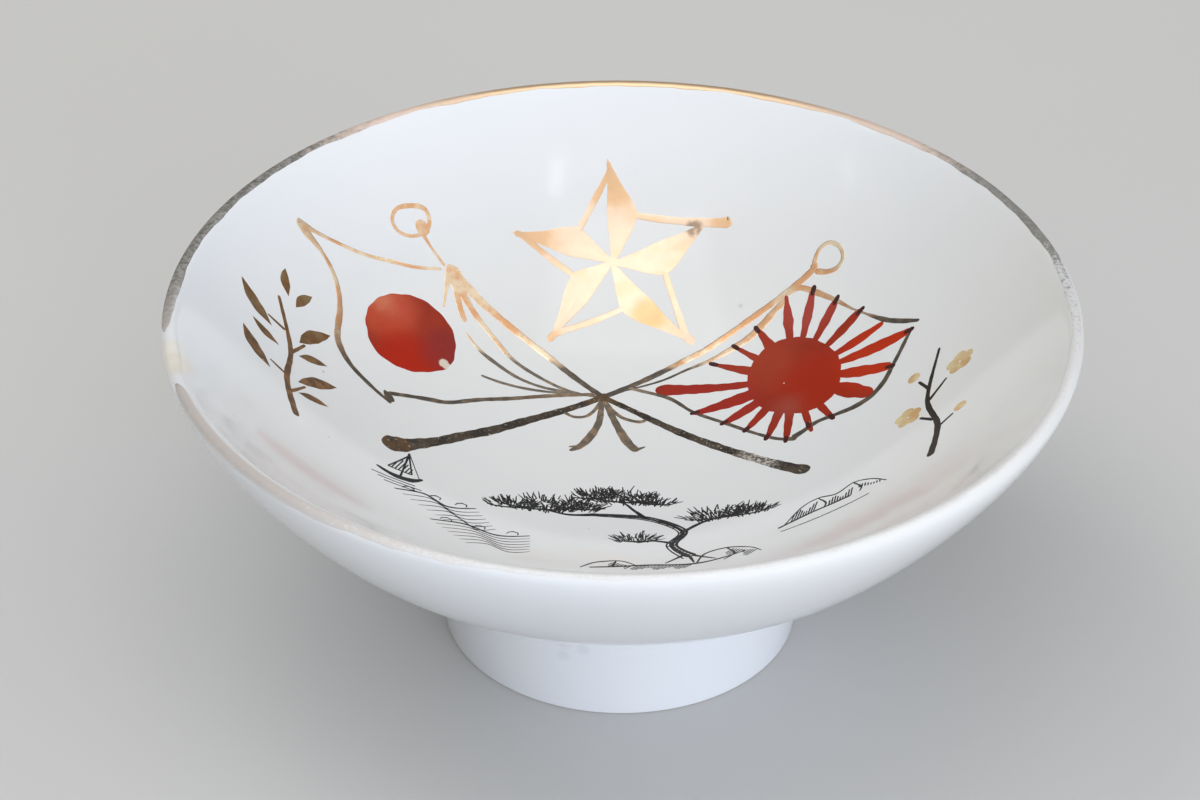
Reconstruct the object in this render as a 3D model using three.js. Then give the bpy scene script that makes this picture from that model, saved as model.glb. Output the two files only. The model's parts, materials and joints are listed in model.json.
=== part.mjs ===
// Porcelain sake cup: a shallow bowl luted on a turned foot ring, with a gilded lip
// and a fired-on decoration of gold, red and black paint lying on the inside of the bowl.
// Millimetres, +Z up. The origin is the centre of the foot's base; the viewer stands at -Y.

import * as THREE from 'three';

// Driving dimensions of the foot
const FOOT_BASE_RADIUS = 15.1;
const FOOT_TOP_RADIUS = 16;
const FOOT_HEIGHT = 10.4;
const FOOT_WALL = 2.5;
const FOOT_EDGE_ROUND = 0.5;

// Driving dimensions of the bowl
const RIM_RADIUS = 37.5;
const BOWL_DEPTH_OUTSIDE = 20.4;
const LIP_THICKNESS = 1.4;
const BASE_THICKNESS = 2.6;
const BELLY_RADIUS = 26.5;
const BELLY_RISE = 5.8;
const BELLY_SLOPE_DEG = 26;
const BELLY_PULL = 3.2;
const RIM_PULL = 2.5;
const WELL_POWER = 2.6;
const LIP_TURN_DEG = 140;

// Driving dimensions of the gilded band on the lip, broken where the lip is chipped
const BAND_LIFT = 0.04;
const BAND_THICKNESS = 0.1;
const BAND_START_DEG = -162;
const BAND_END_DEG = 186;

// Driving dimensions of the paint: how far it stands off the glaze and how thick it lies
const PAINT_LIFT = 0.1;
const PAINT_THICKNESS = 0.14;
const PAINT_GAP = 0.3;

// How finely the round shapes are faceted
const TURN_SEGMENTS = 60;
const FIRST_FACET_DEG = -90;
const WALL_STEPS = 7;
const WELL_STEPS = 10;
const LIP_STEPS = 4;
const STROKE_STEP = 1.2;
const LEAST_STROKE_STEPS = 3;
const CLIMB_STEPS = 24;
const FACET_PARTS = 4;
const FACET_RINGS = 2;
const SUN_SIDES = 24;
const SUN_RINGS = 3;
const RAY_RINGS = 4;
const LEAF_SIDES = 12;
const LEAF_RINGS = 2;
const CROWN_SIDES = 16;
const CROWN_RINGS = 2;
const DOT_SIDES = 10;
const SAIL_PARTS = 3;

// Driving dimensions of the star
const STAR_ARMS = 5;
const STAR_CENTRE = [-2.5, 67.5];
const STAR_RADIUS = 9.9;
const STAR_NOTCH_RADIUS = 4.3;
const STAR_LINE = 0.6;

// Driving dimensions of the two suns: their centres, half widths and half heights
const LEFT_SUN_CENTRE = [-50, 38.5];
const LEFT_SUN_HALF_WIDTH = 4.3;
const LEFT_SUN_HALF_HEIGHT = 3.5;
const LEFT_SUN_TURN_DEG = 135;
const RIGHT_SUN_CENTRE = [41, 31];
const RIGHT_SUN_HALF_WIDTH = 4.1;
const RIGHT_SUN_HALF_HEIGHT = 3.9;
const RAY_COUNT = 20;
const RAY_START_DEG = 94;
const RAY_ROOT_HALF_DEG = 4;
const RAY_TIP_WIDTH = 0.5;
const BEYOND_END = 0.2;

// Widths of the painted lines
const FLAG_LINE = 0.4;
const POLE_LINE = 0.6;
const CORD_LINE = 0.35;
const STEM_LINE = 0.45;
const TRUNK_LINE = 0.8;
const PRINT_LINE = 0.35;
const STEM_TAPER = 0.5;

// Driving dimensions of the knot, the sprigs and the pine
const KNOT_RADIUS = 0.8;
const LEAF_HALF_LENGTH = 1.7;
const LEAF_HALF_WIDTH = 0.55;
const BLOSSOM_PETALS = 5;
const BLOSSOM_RADIUS = 1.1;
const PETAL_POINTS = 4;
const PETAL_DEPTH = 0.25;
const BUD_RADIUS = 0.5;
const CROWN_HALF_WIDTH = 3.4;
const CROWN_HALF_HEIGHT = 1.2;

const RIM_TOP = FOOT_HEIGHT + BOWL_DEPTH_OUTSIDE;
const LIP_RADIUS = LIP_THICKNESS / 2;
const WIDEST_HEIGHT = RIM_TOP - LIP_RADIUS;
const LIP_TURN = THREE.MathUtils.degToRad(LIP_TURN_DEG);
const WELL_RIM_RADIUS = RIM_RADIUS - LIP_RADIUS + LIP_RADIUS * Math.cos(LIP_TURN);
const WELL_RIM_HEIGHT = WIDEST_HEIGHT + LIP_RADIUS * Math.sin(LIP_TURN);
const WELL_FLOOR = FOOT_HEIGHT + BASE_THICKNESS;

// The decoration is laid out to fill the bowl: its plan points and centres are given in
// hundredths of the radius of the bowl's inside at the lip
const HUNDREDTH = WELL_RIM_RADIUS / 100;

// Finishes
const porcelain = finish(0xf1f2f0, 0.16, 0);
const gold = finish(0xe6b25c, 0.28, 0.9);
const wornGold = finish(0x6b5335, 0.42, 0.7);
const redEnamel = finish(0xa82c1c, 0.3, 0);
const blackEnamel = finish(0x23201f, 0.45, 0);

function finish(color, roughness, metalness) {
  return new THREE.MeshStandardMaterial({ color, roughness, metalness });
}

const cup = new THREE.Group();

function place(name, geometry, material) {
  const mesh = new THREE.Mesh(geometry, material);
  mesh.name = name;
  cup.add(mesh);
}

function plan([x, y]) {
  return [x * HUNDREDTH, y * HUNDREDTH];
}

function planned(points) {
  return points.map(plan);
}

// Height of the inside of the bowl over a point r from the axis
function wellHeight(r) {
  const rise = WELL_RIM_HEIGHT - WELL_FLOOR;
  return WELL_FLOOR + rise * Math.pow(r / WELL_RIM_RADIUS, WELL_POWER);
}

// Slope dz/dr of the inside of the bowl at a point r from the axis
function wellSlope(r) {
  const rise = WELL_RIM_HEIGHT - WELL_FLOOR;
  return (WELL_POWER * rise / WELL_RIM_RADIUS) * Math.pow(r / WELL_RIM_RADIUS, WELL_POWER - 1);
}

// The point over plan position (x, y), standing off the inside of the bowl by lift
function onWell(x, y, lift) {
  const r = Math.hypot(x, y);
  const slope = wellSlope(r);
  const length = Math.hypot(1, slope);
  const inward = r > 0 ? -slope / (length * r) : 0;
  return new THREE.Vector3(x + x * inward * lift, y + y * inward * lift, wellHeight(r) + lift / length);
}

// The plan point reached by going over the glaze from centre: a to the right, b uphill
function overWell([cx, cy], a, b) {
  const start = Math.hypot(cx, cy);
  let r = start;
  for (let i = 0; i < CLIMB_STEPS; i += 1) r += b / CLIMB_STEPS / Math.hypot(1, wellSlope(r));
  const turn = Math.atan2(cx, cy) + a / r;
  return [r * Math.sin(turn), r * Math.cos(turn)];
}

function toGeometry(points, triangles) {
  const geometry = new THREE.BufferGeometry();
  geometry.setFromPoints(points);
  geometry.setIndex(triangles);
  geometry.computeVertexNormals();
  return geometry;
}

// A bar through a list of sections, each a loop of points whose first half runs along
// one face and whose second half runs back along the other, closed at both ends
function loft(sections) {
  const count = sections[0].length;
  const triangles = [];
  const quad = (a, b, c, d) => triangles.push(a, b, c, a, c, d);
  for (let s = 0; s + 1 < sections.length; s += 1) {
    for (let i = 0; i < count; i += 1) {
      const j = (i + 1) % count;
      quad(s * count + i, s * count + j, (s + 1) * count + j, (s + 1) * count + i);
    }
  }
  const last = (sections.length - 1) * count;
  for (let i = 0; i + 1 < count / 2; i += 1) {
    const back = count - 1 - i;
    quad(i, back, back - 1, i + 1);
    quad(last + i, last + i + 1, last + back - 1, last + back);
  }
  return toGeometry(sections.flat(), triangles);
}

// A brush stroke along plan points, lying on the glaze, tapering by endShare at its far end
function stroke(points, width, endShare = 1) {
  const curve = new THREE.SplineCurve(points.map(([x, y]) => new THREE.Vector2(x, y)));
  const steps = Math.max(LEAST_STROKE_STEPS, Math.ceil(curve.getLength() / STROKE_STEP));
  const sections = [];
  for (let i = 0; i <= steps; i += 1) {
    const t = i / steps;
    const p = curve.getPointAt(t);
    const along = curve.getTangentAt(t);
    const half = (width / 2) * (1 + (endShare - 1) * t);
    const left = [p.x - along.y * half, p.y + along.x * half];
    const right = [p.x + along.y * half, p.y - along.x * half];
    const top = PAINT_LIFT + PAINT_THICKNESS;
    sections.push([
      onWell(...left, PAINT_LIFT),
      onWell(...left, top),
      onWell(...right, top),
      onWell(...right, PAINT_LIFT),
    ]);
  }
  return loft(sections);
}

// A patch of paint inside an anticlockwise plan outline that is star-shaped about centre
function patch([cx, cy], outline, rings) {
  const count = outline.length;
  const points = [];
  const triangles = [];
  for (const lift of [PAINT_LIFT + PAINT_THICKNESS, PAINT_LIFT]) {
    points.push(onWell(cx, cy, lift));
    for (let k = 1; k <= rings; k += 1) {
      const share = k / rings;
      for (const [x, y] of outline) {
        points.push(onWell(cx + (x - cx) * share, cy + (y - cy) * share, lift));
      }
    }
  }
  const under = 1 + rings * count;
  const tri = (a, b, c) => {
    triangles.push(a, b, c);
    triangles.push(under + a, under + c, under + b);
  };
  const at = (ring, i) => 1 + (ring - 1) * count + (i % count);
  for (let i = 0; i < count; i += 1) {
    tri(0, at(1, i), at(1, i + 1));
    for (let k = 1; k < rings; k += 1) {
      tri(at(k, i), at(k + 1, i), at(k + 1, i + 1));
      tri(at(k, i), at(k + 1, i + 1), at(k, i + 1));
    }
    const a = at(rings, i);
    const b = at(rings, i + 1);
    triangles.push(a, under + a, under + b, a, under + b, b);
  }
  return toGeometry(points, triangles);
}

// A round dot of paint
function dot(centre, radius) {
  return patch(centre, oval(centre, radius, radius, 0, DOT_SIDES), 1);
}

function middleOf(corners) {
  return [0, 1].map((axis) => corners.reduce((sum, corner) => sum + corner[axis], 0) / corners.length);
}

// Points along the sides of a polygon, parts to a side, corners included
function sidesOf(corners, parts) {
  return corners.flatMap(([x, y], i) => {
    const [nx, ny] = corners[(i + 1) % corners.length];
    const between = (share) => [x + (nx - x) * share, y + (ny - y) * share];
    return Array.from({ length: parts }, (_, k) => between(k / parts));
  });
}

// An oval outline about a plan point, turned anticlockwise
function oval([cx, cy], halfWidth, halfHeight, turnDeg, sides) {
  const turn = THREE.MathUtils.degToRad(turnDeg);
  return Array.from({ length: sides }, (_, i) => {
    const angle = (2 * Math.PI * i) / sides;
    const a = halfWidth * Math.cos(angle);
    const b = halfHeight * Math.sin(angle);
    return [cx + a * Math.cos(turn) - b * Math.sin(turn), cy + a * Math.sin(turn) + b * Math.cos(turn)];
  });
}

// Outside of the bowl, from the flat bottom up over the belly to its widest point
function outerProfile() {
  const belly = new THREE.Vector2(BELLY_RADIUS, FOOT_HEIGHT + BELLY_RISE);
  const slope = THREE.MathUtils.degToRad(BELLY_SLOPE_DEG);
  const pull = new THREE.Vector2(Math.cos(slope), Math.sin(slope)).multiplyScalar(BELLY_PULL);
  const wall = new THREE.CubicBezierCurve(
    belly,
    belly.clone().add(pull),
    new THREE.Vector2(RIM_RADIUS, WIDEST_HEIGHT - RIM_PULL),
    new THREE.Vector2(RIM_RADIUS, WIDEST_HEIGHT),
  );
  return [
    new THREE.Vector2(0, FOOT_HEIGHT),
    new THREE.Vector2(FOOT_TOP_RADIUS, FOOT_HEIGHT),
    ...wall.getPoints(WALL_STEPS),
  ];
}

// The round lip, from the widest point over the top to the inside of the bowl
function lipProfile() {
  return Array.from({ length: LIP_STEPS }, (_, i) => {
    const angle = (LIP_TURN * (i + 1)) / LIP_STEPS;
    return new THREE.Vector2(
      RIM_RADIUS - LIP_RADIUS + LIP_RADIUS * Math.cos(angle),
      WIDEST_HEIGHT + LIP_RADIUS * Math.sin(angle),
    );
  });
}

// Inside of the bowl, from just below the lip down to the middle of the floor
function wellProfile() {
  return Array.from({ length: WELL_STEPS }, (_, i) => {
    const r = WELL_RIM_RADIUS * (1 - (i + 1) / WELL_STEPS);
    return new THREE.Vector2(r, wellHeight(r));
  });
}

// A profile turned about the cup's upright axis
function turned(profile) {
  return new THREE.LatheGeometry(profile, TURN_SEGMENTS).rotateX(Math.PI / 2);
}

function bowl() {
  place('bowl', turned([...outerProfile(), ...lipProfile(), ...wellProfile()]), porcelain);
}

// The foot ring stands face to face under the bowl's flat bottom, its base edges rounded
function footRing() {
  const inner = FOOT_BASE_RADIUS - FOOT_WALL;
  const eased = FOOT_EDGE_ROUND * (1 - Math.SQRT1_2);
  const profile = [
    [inner, FOOT_HEIGHT],
    [inner, FOOT_EDGE_ROUND],
    [inner + FOOT_EDGE_ROUND, 0],
    [FOOT_BASE_RADIUS - FOOT_EDGE_ROUND, 0],
    [FOOT_BASE_RADIUS - eased, eased],
    [FOOT_BASE_RADIUS, FOOT_EDGE_ROUND],
    [FOOT_TOP_RADIUS, FOOT_HEIGHT],
    [inner, FOOT_HEIGHT],
  ].map(([r, z]) => new THREE.Vector2(r, z));
  place('foot_ring', turned(profile), porcelain);
}

// The gilded band follows the same facets as the lip, a hair off them
function rimGilding() {
  const lip = [...outerProfile().slice(-2), ...lipProfile(), wellProfile()[0]];
  const centre = new THREE.Vector2(RIM_RADIUS - LIP_RADIUS, WIDEST_HEIGHT);
  const last = lip.length - 1;
  lip[0] = lip[1].clone().add(new THREE.Vector2(0, -LIP_RADIUS));
  lip[last] = lip[last - 1].clone().lerp(lip[last], LIP_RADIUS / lip[last - 1].distanceTo(lip[last]));
  const offset = (distance) => lip.map((point, i) => {
    const before = lip[Math.max(i - 1, 0)];
    const after = lip[Math.min(i + 1, last)];
    const along = after.clone().sub(before).normalize();
    const outward = new THREE.Vector2(along.y, -along.x);
    if (outward.dot(point.clone().sub(centre)) < 0) outward.negate();
    return point.clone().addScaledVector(outward, distance);
  });
  const section = [...offset(BAND_LIFT), ...offset(BAND_LIFT + BAND_THICKNESS).reverse()];
  const pitch = 360 / TURN_SEGMENTS;
  const first = Math.ceil((BAND_START_DEG - FIRST_FACET_DEG) / pitch);
  const final = Math.floor((BAND_END_DEG - FIRST_FACET_DEG) / pitch);
  const sections = [];
  for (let i = first; i <= final; i += 1) {
    const angle = THREE.MathUtils.degToRad(FIRST_FACET_DEG + i * pitch);
    sections.push(section.map((p) => new THREE.Vector3(p.x * Math.cos(angle), p.x * Math.sin(angle), p.y)));
  }
  place('rim_gilding', loft(sections), gold);
}

// Every arm of the star is split down its middle: the clockwise half is filled with gold,
// the other half is only edged by a line
function star() {
  const centre = plan(STAR_CENTRE);
  const corner = (radius, turn) => overWell(centre, radius * Math.sin(turn), radius * Math.cos(turn));
  const step = Math.PI / STAR_ARMS;
  for (let arm = 0; arm < STAR_ARMS; arm += 1) {
    const turn = 2 * step * arm;
    const tip = corner(STAR_RADIUS, turn);
    const corners = [centre, corner(STAR_NOTCH_RADIUS, turn + step), tip];
    const middle = middleOf(corners);
    const inset = corners.map(([x, y]) => shortened(middle, [x, y], PAINT_GAP)[1]);
    place(`star_facet_${arm + 1}`, patch(middle, sidesOf(inset, FACET_PARTS), FACET_RINGS), gold);
    const notch = corner(STAR_NOTCH_RADIUS, turn - step);
    const [from, to] = shortened(notch, tip, STAR_LINE + PAINT_GAP, STAR_LINE + 2 * PAINT_GAP);
    place(`star_line_${arm + 1}`, stroke([from, to], STAR_LINE), gold);
  }
}

// The line from a to b with cutB taken off its end at b and cutA off its end at a
function shortened(a, b, cutB, cutA = 0) {
  const length = Math.hypot(b[0] - a[0], b[1] - a[1]);
  const between = (share) => [a[0] + (b[0] - a[0]) * share, a[1] + (b[1] - a[1]) * share];
  return [between(cutA / length), between(1 - cutB / length)];
}

// Plan points of each flag's border, chosen along its top, fly and foot
const LEFT_FLAG = {
  top: [[-46, 57], [-55, 55], [-66.5, 52.5], [-75.5, 50]],
  fly: [[-75.5, 48.5], [-70.5, 46], [-67, 40], [-67, 28], [-64.5, 22.5], [-57, 16]],
  foot: [[-54, 19], [-46.5, 21], [-41, 21.5], [-25, 27], [-15, 29]],
};
const RIGHT_FLAG = {
  hoist: [[15.5, 38], [22, 41], [27.5, 44], [33, 47.5], [38.5, 53]],
  top: [[41.5, 55.5], [47.5, 51.5], [52, 47], [58, 41], [69.5, 33.5]],
  fly: [[67.5, 30.5], [63, 23.5], [58.5, 16], [50.5, 15], [45, 14.5], [42, 11.5]],
  foot: [[6.5, 33.5], [12, 30], [17.5, 25.5], [24.5, 20.5], [29.5, 16.5], [39, 9.5]],
};

function flagBorders() {
  for (const [side, borders] of [['left', LEFT_FLAG], ['right', RIGHT_FLAG]]) {
    for (const [edge, points] of Object.entries(borders)) {
      place(`${side}_flag_${edge}`, stroke(planned(points), FLAG_LINE), edge === 'top' ? gold : wornGold);
    }
  }
}

function leftSun() {
  const centre = plan(LEFT_SUN_CENTRE);
  const outline = oval(centre, LEFT_SUN_HALF_WIDTH, LEFT_SUN_HALF_HEIGHT, LEFT_SUN_TURN_DEG, SUN_SIDES);
  place('left_sun', patch(centre, outline, SUN_RINGS), redEnamel);
}

// How far a ray from centre at this angle runs before it meets the border lines, each of
// whose straight parts counts a little beyond its ends
function reach([cx, cy], angle, borders) {
  const dx = Math.cos(angle);
  const dy = Math.sin(angle);
  let nearest = Infinity;
  for (const points of borders) {
    for (let i = 0; i + 1 < points.length; i += 1) {
      const [ax, ay] = points[i];
      const ex = points[i + 1][0] - ax;
      const ey = points[i + 1][1] - ay;
      const cross = dx * ey - dy * ex;
      const far = ((ax - cx) * ey - (ay - cy) * ex) / cross;
      const share = ((ax - cx) * dy - (ay - cy) * dx) / cross;
      if (far > 0 && share >= -BEYOND_END && share <= 1 + BEYOND_END) nearest = Math.min(nearest, far);
    }
  }
  return nearest;
}

// The right sun's rays start on its disc and stop short of the flag's border
function rightSun() {
  const centre = plan(RIGHT_SUN_CENTRE);
  const [cx, cy] = centre;
  const at = (radius, angle) => [cx + radius * Math.cos(angle), cy + radius * Math.sin(angle)];
  const rim = (angle) => {
    const x = RIGHT_SUN_HALF_WIDTH * Math.cos(angle);
    const y = RIGHT_SUN_HALF_HEIGHT * Math.sin(angle);
    return Math.hypot(x, y);
  };
  const borders = Object.values(RIGHT_FLAG).map(planned);
  const outline = [];
  for (let ray = 0; ray < RAY_COUNT; ray += 1) {
    const angle = THREE.MathUtils.degToRad(RAY_START_DEG + (360 / RAY_COUNT) * ray);
    const root = THREE.MathUtils.degToRad(RAY_ROOT_HALF_DEG);
    const tip = reach(centre, angle, borders) - FLAG_LINE / 2 - 2 * PAINT_GAP;
    const half = RAY_TIP_WIDTH / 2 / tip;
    outline.push(at(rim(angle - root), angle - root));
    outline.push(at(tip, angle - half));
    outline.push(at(tip, angle + half));
    outline.push(at(rim(angle + root), angle + root));
  }
  place('right_sun', patch(centre, outline, RAY_RINGS), redEnamel);
}

// Plan points of the poles, their finials, the cords and the bow that ties them
const POLES = {
  left_pole_upper: [[-42, 57], [-37, 56], [-30, 51], [-17, 41.5], [-7.5, 34]],
  left_pole_lower: [[-52, 1.5], [-39, 10], [-22, 21.5], [-8, 28.5]],
  right_pole_upper: [[44, 57.5], [38, 54.5], [30, 50], [19, 43], [0, 33.5]],
  right_pole_lower: [[43.5, -2.5], [29.5, 7.5], [15, 17], [-0.5, 28.5]],
};
const FINIALS = {
  left_finial_ring: [[-50, 65], [-55, 62], [-56, 63.5], [-54.5, 66.5], [-51, 68.5], [-48, 69.5], [-47, 67]],
  left_finial_stem: [[-48.5, 63], [-46.5, 61.5], [-44, 59]],
  right_finial_ring: [[47.5, 57], [52.5, 56], [53, 58.5], [51, 62], [48.5, 63], [46, 61]],
};
const CORDS = {
  cord_1: [[-39.5, 52.5], [-33, 45.5], [-25, 39], [-20, 35.5]],
  cord_2: [[-37.5, 43], [-34, 40.5], [-28, 37], [-22, 34]],
  cord_3: [[-34, 33.5], [-29, 32.5], [-21.5, 31.5]],
  cord_end: [[-42.5, 54.5], [-43.5, 49.5]],
};
const BOW = {
  bow_loop_left: [[-7.5, 26], [-9.5, 24], [-12, 23], [-14.5, 23]],
  bow_loop_right: [[-2, 26.5], [0.5, 23.5], [3.5, 22]],
  bow_tail_left: [[-5.5, 27], [-6, 21.5], [-7.5, 15.5], [-10.5, 12]],
  bow_tail_right: [[-3.5, 27], [-2, 20.5], [0, 14.5], [3, 11.5]],
};
const BOW_KNOT = [-4.5, 30.5];

function polesAndCords() {
  const drawAll = (lines, width, materialOf) => {
    for (const [name, points] of Object.entries(lines)) {
      place(name, stroke(planned(points), width), materialOf(name));
    }
  };
  drawAll(POLES, POLE_LINE, (name) => (name.endsWith('upper') ? gold : wornGold));
  drawAll(FINIALS, CORD_LINE, () => gold);
  drawAll(CORDS, CORD_LINE, () => gold);
  drawAll(BOW, CORD_LINE, () => wornGold);
  place('bow_knot', dot(plan(BOW_KNOT), KNOT_RADIUS), wornGold);
}

// Plan points of the small sprigs at the two sides
const LEFT_STEM = [[-74, -7], [-77, 4.5], [-77, 15.5], [-80.5, 28.5]];
const LEFT_LEAVES = [
  { centre: [-70.5, 9], turnDeg: 35 },
  { centre: [-84, 8.5], turnDeg: 130 },
  { centre: [-72, 23], turnDeg: 50 },
  { centre: [-85, 22], turnDeg: 135 },
];
const RIGHT_STEM = [[69.5, -18], [72, -6], [70.5, 6], [74, 20.5]];
const RIGHT_BLOSSOMS = [[66, 3], [78, 12]];
const RIGHT_BUDS = [[68, 15.5], [77, -4]];

function sprigs() {
  place('left_sprig_stem', stroke(planned(LEFT_STEM), STEM_LINE, STEM_TAPER), wornGold);
  LEFT_LEAVES.forEach((leaf, i) => {
    const centre = plan(leaf.centre);
    const outline = oval(centre, LEAF_HALF_LENGTH, LEAF_HALF_WIDTH, leaf.turnDeg, LEAF_SIDES);
    place(`left_sprig_leaf_${i + 1}`, patch(centre, outline, LEAF_RINGS), wornGold);
  });
  place('right_sprig_stem', stroke(planned(RIGHT_STEM), STEM_LINE, STEM_TAPER), blackEnamel);
  planned(RIGHT_BLOSSOMS).forEach((centre, i) => {
    const points = PETAL_POINTS * BLOSSOM_PETALS;
    const outline = Array.from({ length: points }, (_, k) => {
      const angle = (2 * Math.PI * k) / points;
      const r = BLOSSOM_RADIUS * (1 - PETAL_DEPTH * Math.pow(Math.sin((BLOSSOM_PETALS * angle) / 2), 2));
      return [centre[0] + r * Math.cos(angle), centre[1] + r * Math.sin(angle)];
    });
    place(`right_sprig_blossom_${i + 1}`, patch(centre, outline, 1), gold);
  });
  planned(RIGHT_BUDS).forEach((centre, i) => {
    place(`right_sprig_bud_${i + 1}`, dot(centre, BUD_RADIUS), gold);
  });
}

// The black line drawing at the front of the bowl: a pine leaning over water
const PINE_TRUNK = [[15.5, -34.5], [11.5, -28], [14, -21.5], [6, -15.5], [-7, -14]];
const PINE_CROWNS = [
  { centre: [-17.5, -11.5], share: 1, turnDeg: 4 },
  { centre: [0.5, -7.5], share: 0.85, turnDeg: -6 },
  { centre: [22, -15.5], share: 0.8, turnDeg: 8 },
];
const WAVES = [
  [[-51.5, -17.5], [-45, -15.5], [-39.5, -18.5], [-33, -16.5]],
  [[-43, -27], [-35.5, -25], [-28, -27.5], [-20.5, -25.5]],
];
const SHORE = [[-7, -39.5], [5.5, -38], [17.5, -38.5], [28, -34.5]];
const FAR_SHORE = [[35.5, -26], [43, -22], [52, -19.5]];
const SAIL = [[-53.5, -8.5], [-48, -9], [-49, -1.5]];

function pineDrawing() {
  place('pine_trunk', stroke(planned(PINE_TRUNK), TRUNK_LINE, STEM_TAPER), blackEnamel);
  PINE_CROWNS.forEach((crown, i) => {
    const centre = plan(crown.centre);
    const [halfWidth, halfHeight] = [crown.share * CROWN_HALF_WIDTH, crown.share * CROWN_HALF_HEIGHT];
    const outline = oval(centre, halfWidth, halfHeight, crown.turnDeg, CROWN_SIDES);
    place(`pine_crown_${i + 1}`, patch(centre, outline, CROWN_RINGS), blackEnamel);
  });
  WAVES.forEach((points, i) => place(`wave_${i + 1}`, stroke(planned(points), PRINT_LINE), blackEnamel));
  place('shore', stroke(planned(SHORE), PRINT_LINE), blackEnamel);
  place('far_shore', stroke(planned(FAR_SHORE), PRINT_LINE), blackEnamel);
  const sail = planned(SAIL);
  place('sail', patch(middleOf(sail), sidesOf(sail, SAIL_PARTS), 1), blackEnamel);
}

bowl();
footRing();
rimGilding();
star();
flagBorders();
leftSun();
rightSun();
polesAndCords();
sprigs();
pineDrawing();

export default cup;
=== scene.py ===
import json
import math

import bpy
import numpy as np
from bpy.props import FloatProperty, FloatVectorProperty, IntProperty, PointerProperty
from mathutils import Matrix, Vector


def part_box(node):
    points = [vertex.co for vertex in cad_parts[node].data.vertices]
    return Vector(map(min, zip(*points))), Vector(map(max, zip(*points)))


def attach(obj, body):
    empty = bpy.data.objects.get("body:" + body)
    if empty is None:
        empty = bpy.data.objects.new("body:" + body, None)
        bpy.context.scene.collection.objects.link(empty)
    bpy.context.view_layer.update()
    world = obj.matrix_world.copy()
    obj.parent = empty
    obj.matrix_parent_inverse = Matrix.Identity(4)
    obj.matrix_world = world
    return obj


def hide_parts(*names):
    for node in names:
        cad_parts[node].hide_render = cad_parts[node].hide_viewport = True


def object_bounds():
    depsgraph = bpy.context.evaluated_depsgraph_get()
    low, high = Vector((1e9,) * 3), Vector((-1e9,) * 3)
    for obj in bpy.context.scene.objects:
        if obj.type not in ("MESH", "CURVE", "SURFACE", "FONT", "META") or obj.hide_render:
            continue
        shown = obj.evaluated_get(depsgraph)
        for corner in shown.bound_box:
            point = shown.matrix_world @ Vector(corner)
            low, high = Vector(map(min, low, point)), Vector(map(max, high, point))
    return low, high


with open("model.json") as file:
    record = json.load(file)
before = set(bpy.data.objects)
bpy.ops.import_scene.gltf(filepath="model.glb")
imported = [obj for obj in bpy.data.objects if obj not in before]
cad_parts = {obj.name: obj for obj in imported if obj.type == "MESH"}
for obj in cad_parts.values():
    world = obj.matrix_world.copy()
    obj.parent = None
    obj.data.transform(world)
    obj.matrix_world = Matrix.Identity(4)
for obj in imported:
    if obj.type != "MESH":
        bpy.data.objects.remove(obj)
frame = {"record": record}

bl_info = {
    "name": "Footed Porcelain Sake Cup",
    "version": (1, 0, 0),
    "blender": (4, 5, 0),
    "location": "View3D > Sidebar > Sake Cup",
    "description": "Makes a footed porcelain sake cup with fired gold, red enamel and black line",
    "category": "Add Mesh",
}

CAD_BOX = [list(corner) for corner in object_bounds()]

# All shapes are worked out in millimetres and written into the meshes in metres
MM = 0.001
BODY = "root"
IMAGE_SIZE = (1200, 800)

RIM_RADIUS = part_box("bowl")[1].x
FOOT_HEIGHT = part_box("foot_ring")[1].z
FOOT_TOP_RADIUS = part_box("foot_ring")[1].x

# How finely the surfaces are divided
TURN_STEPS = 288
WELL_STEPS = 96
# The innermost ring of the well, as a share of its radius
WELL_MIDDLE = 0.004
WALL_STEPS = 48
SLOPE_STEPS = 8
BOTTOM_SHARES = (0.03, 0.4, 0.8)
LIP_STEPS = 14
FOOT_EDGE_STEPS = 7
FOOT_WALL_STEPS = 12
FILLET_STEPS = 9
CURVE_STEPS = 24
ACROSS = (-1, -0.98, -0.88, -0.5, 0, 0.5, 0.88, 0.98, 1)
# Where the underside of a film of paint runs, as shares of its half width
UNDERSIDE = (0.9, -0.9)
STROKE_STEP = 0.28
FINE_STEP = 0.5
LEAF_STEP = 0.12
OUTLINE_STEP = 0.22
SIDE_STEPS = 13
# Where a stroke's end is sampled more closely, in millimetres from it
END_STEPS = (0.015, 0.05, 0.11, 0.19)
PATCH_RINGS = (0.03, 0.3, 0.55, 0.75, 0.88, 0.96, 0.994, 1)

# The bowl's curves: how far round the lip its inside starts and at which slope the belly
# turns up, in degrees, and how hard the curve is pulled at its two ends, in millimetres
LIP_TURN = 140
BELLY_SLOPE = 26
BELLY_PULL = 3.2
RIM_PULL = 2.5
# How far the foot ring's top stays below the bowl's bottom, in millimetres
FOOT_GAP = 0.02

# The nick in the lip: its place and spread round the rim in degrees, then its reach across
# the lip and down, its depth and its raggedness in millimetres
NICK_ANGLE = 193
NICK_SPREAD = 4.5
NICK_ACROSS = 0.7
NICK_DOWN = 0.8
NICK_DEPTH = 0.26
NICK_RAGGED = 0.1

# How far the line under which the flags' borders are tarnished and painted dark as shade climbs towards the
# right
TURN_LEAN = 0.117

# How far the paint sinks into the glaze, the heights of the lip's gilding and of the brush's
# streaks in millimetres, and how the edges of strokes and patches waver
PAINT_SINK = 0.02
GILDING = 0.014
BRUSH_RELIEF = 0.012
EDGE_WAVER = 0.05
PATCH_WAVER = 0.03
SHORT_WAVE = 5.1
LONG_WAVE = 1.9
LEAST_HALF_WIDTH = 0.012
# Layers of paint, as shares of the height of a painted stroke
STAR_LINE_LAYER = 0.9
POLE_LAYER = 1.2
RAY_LAYER = 1.2
SUN_LAYER = 1.4
RAY_CAP_LAYER = 2.2


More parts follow.
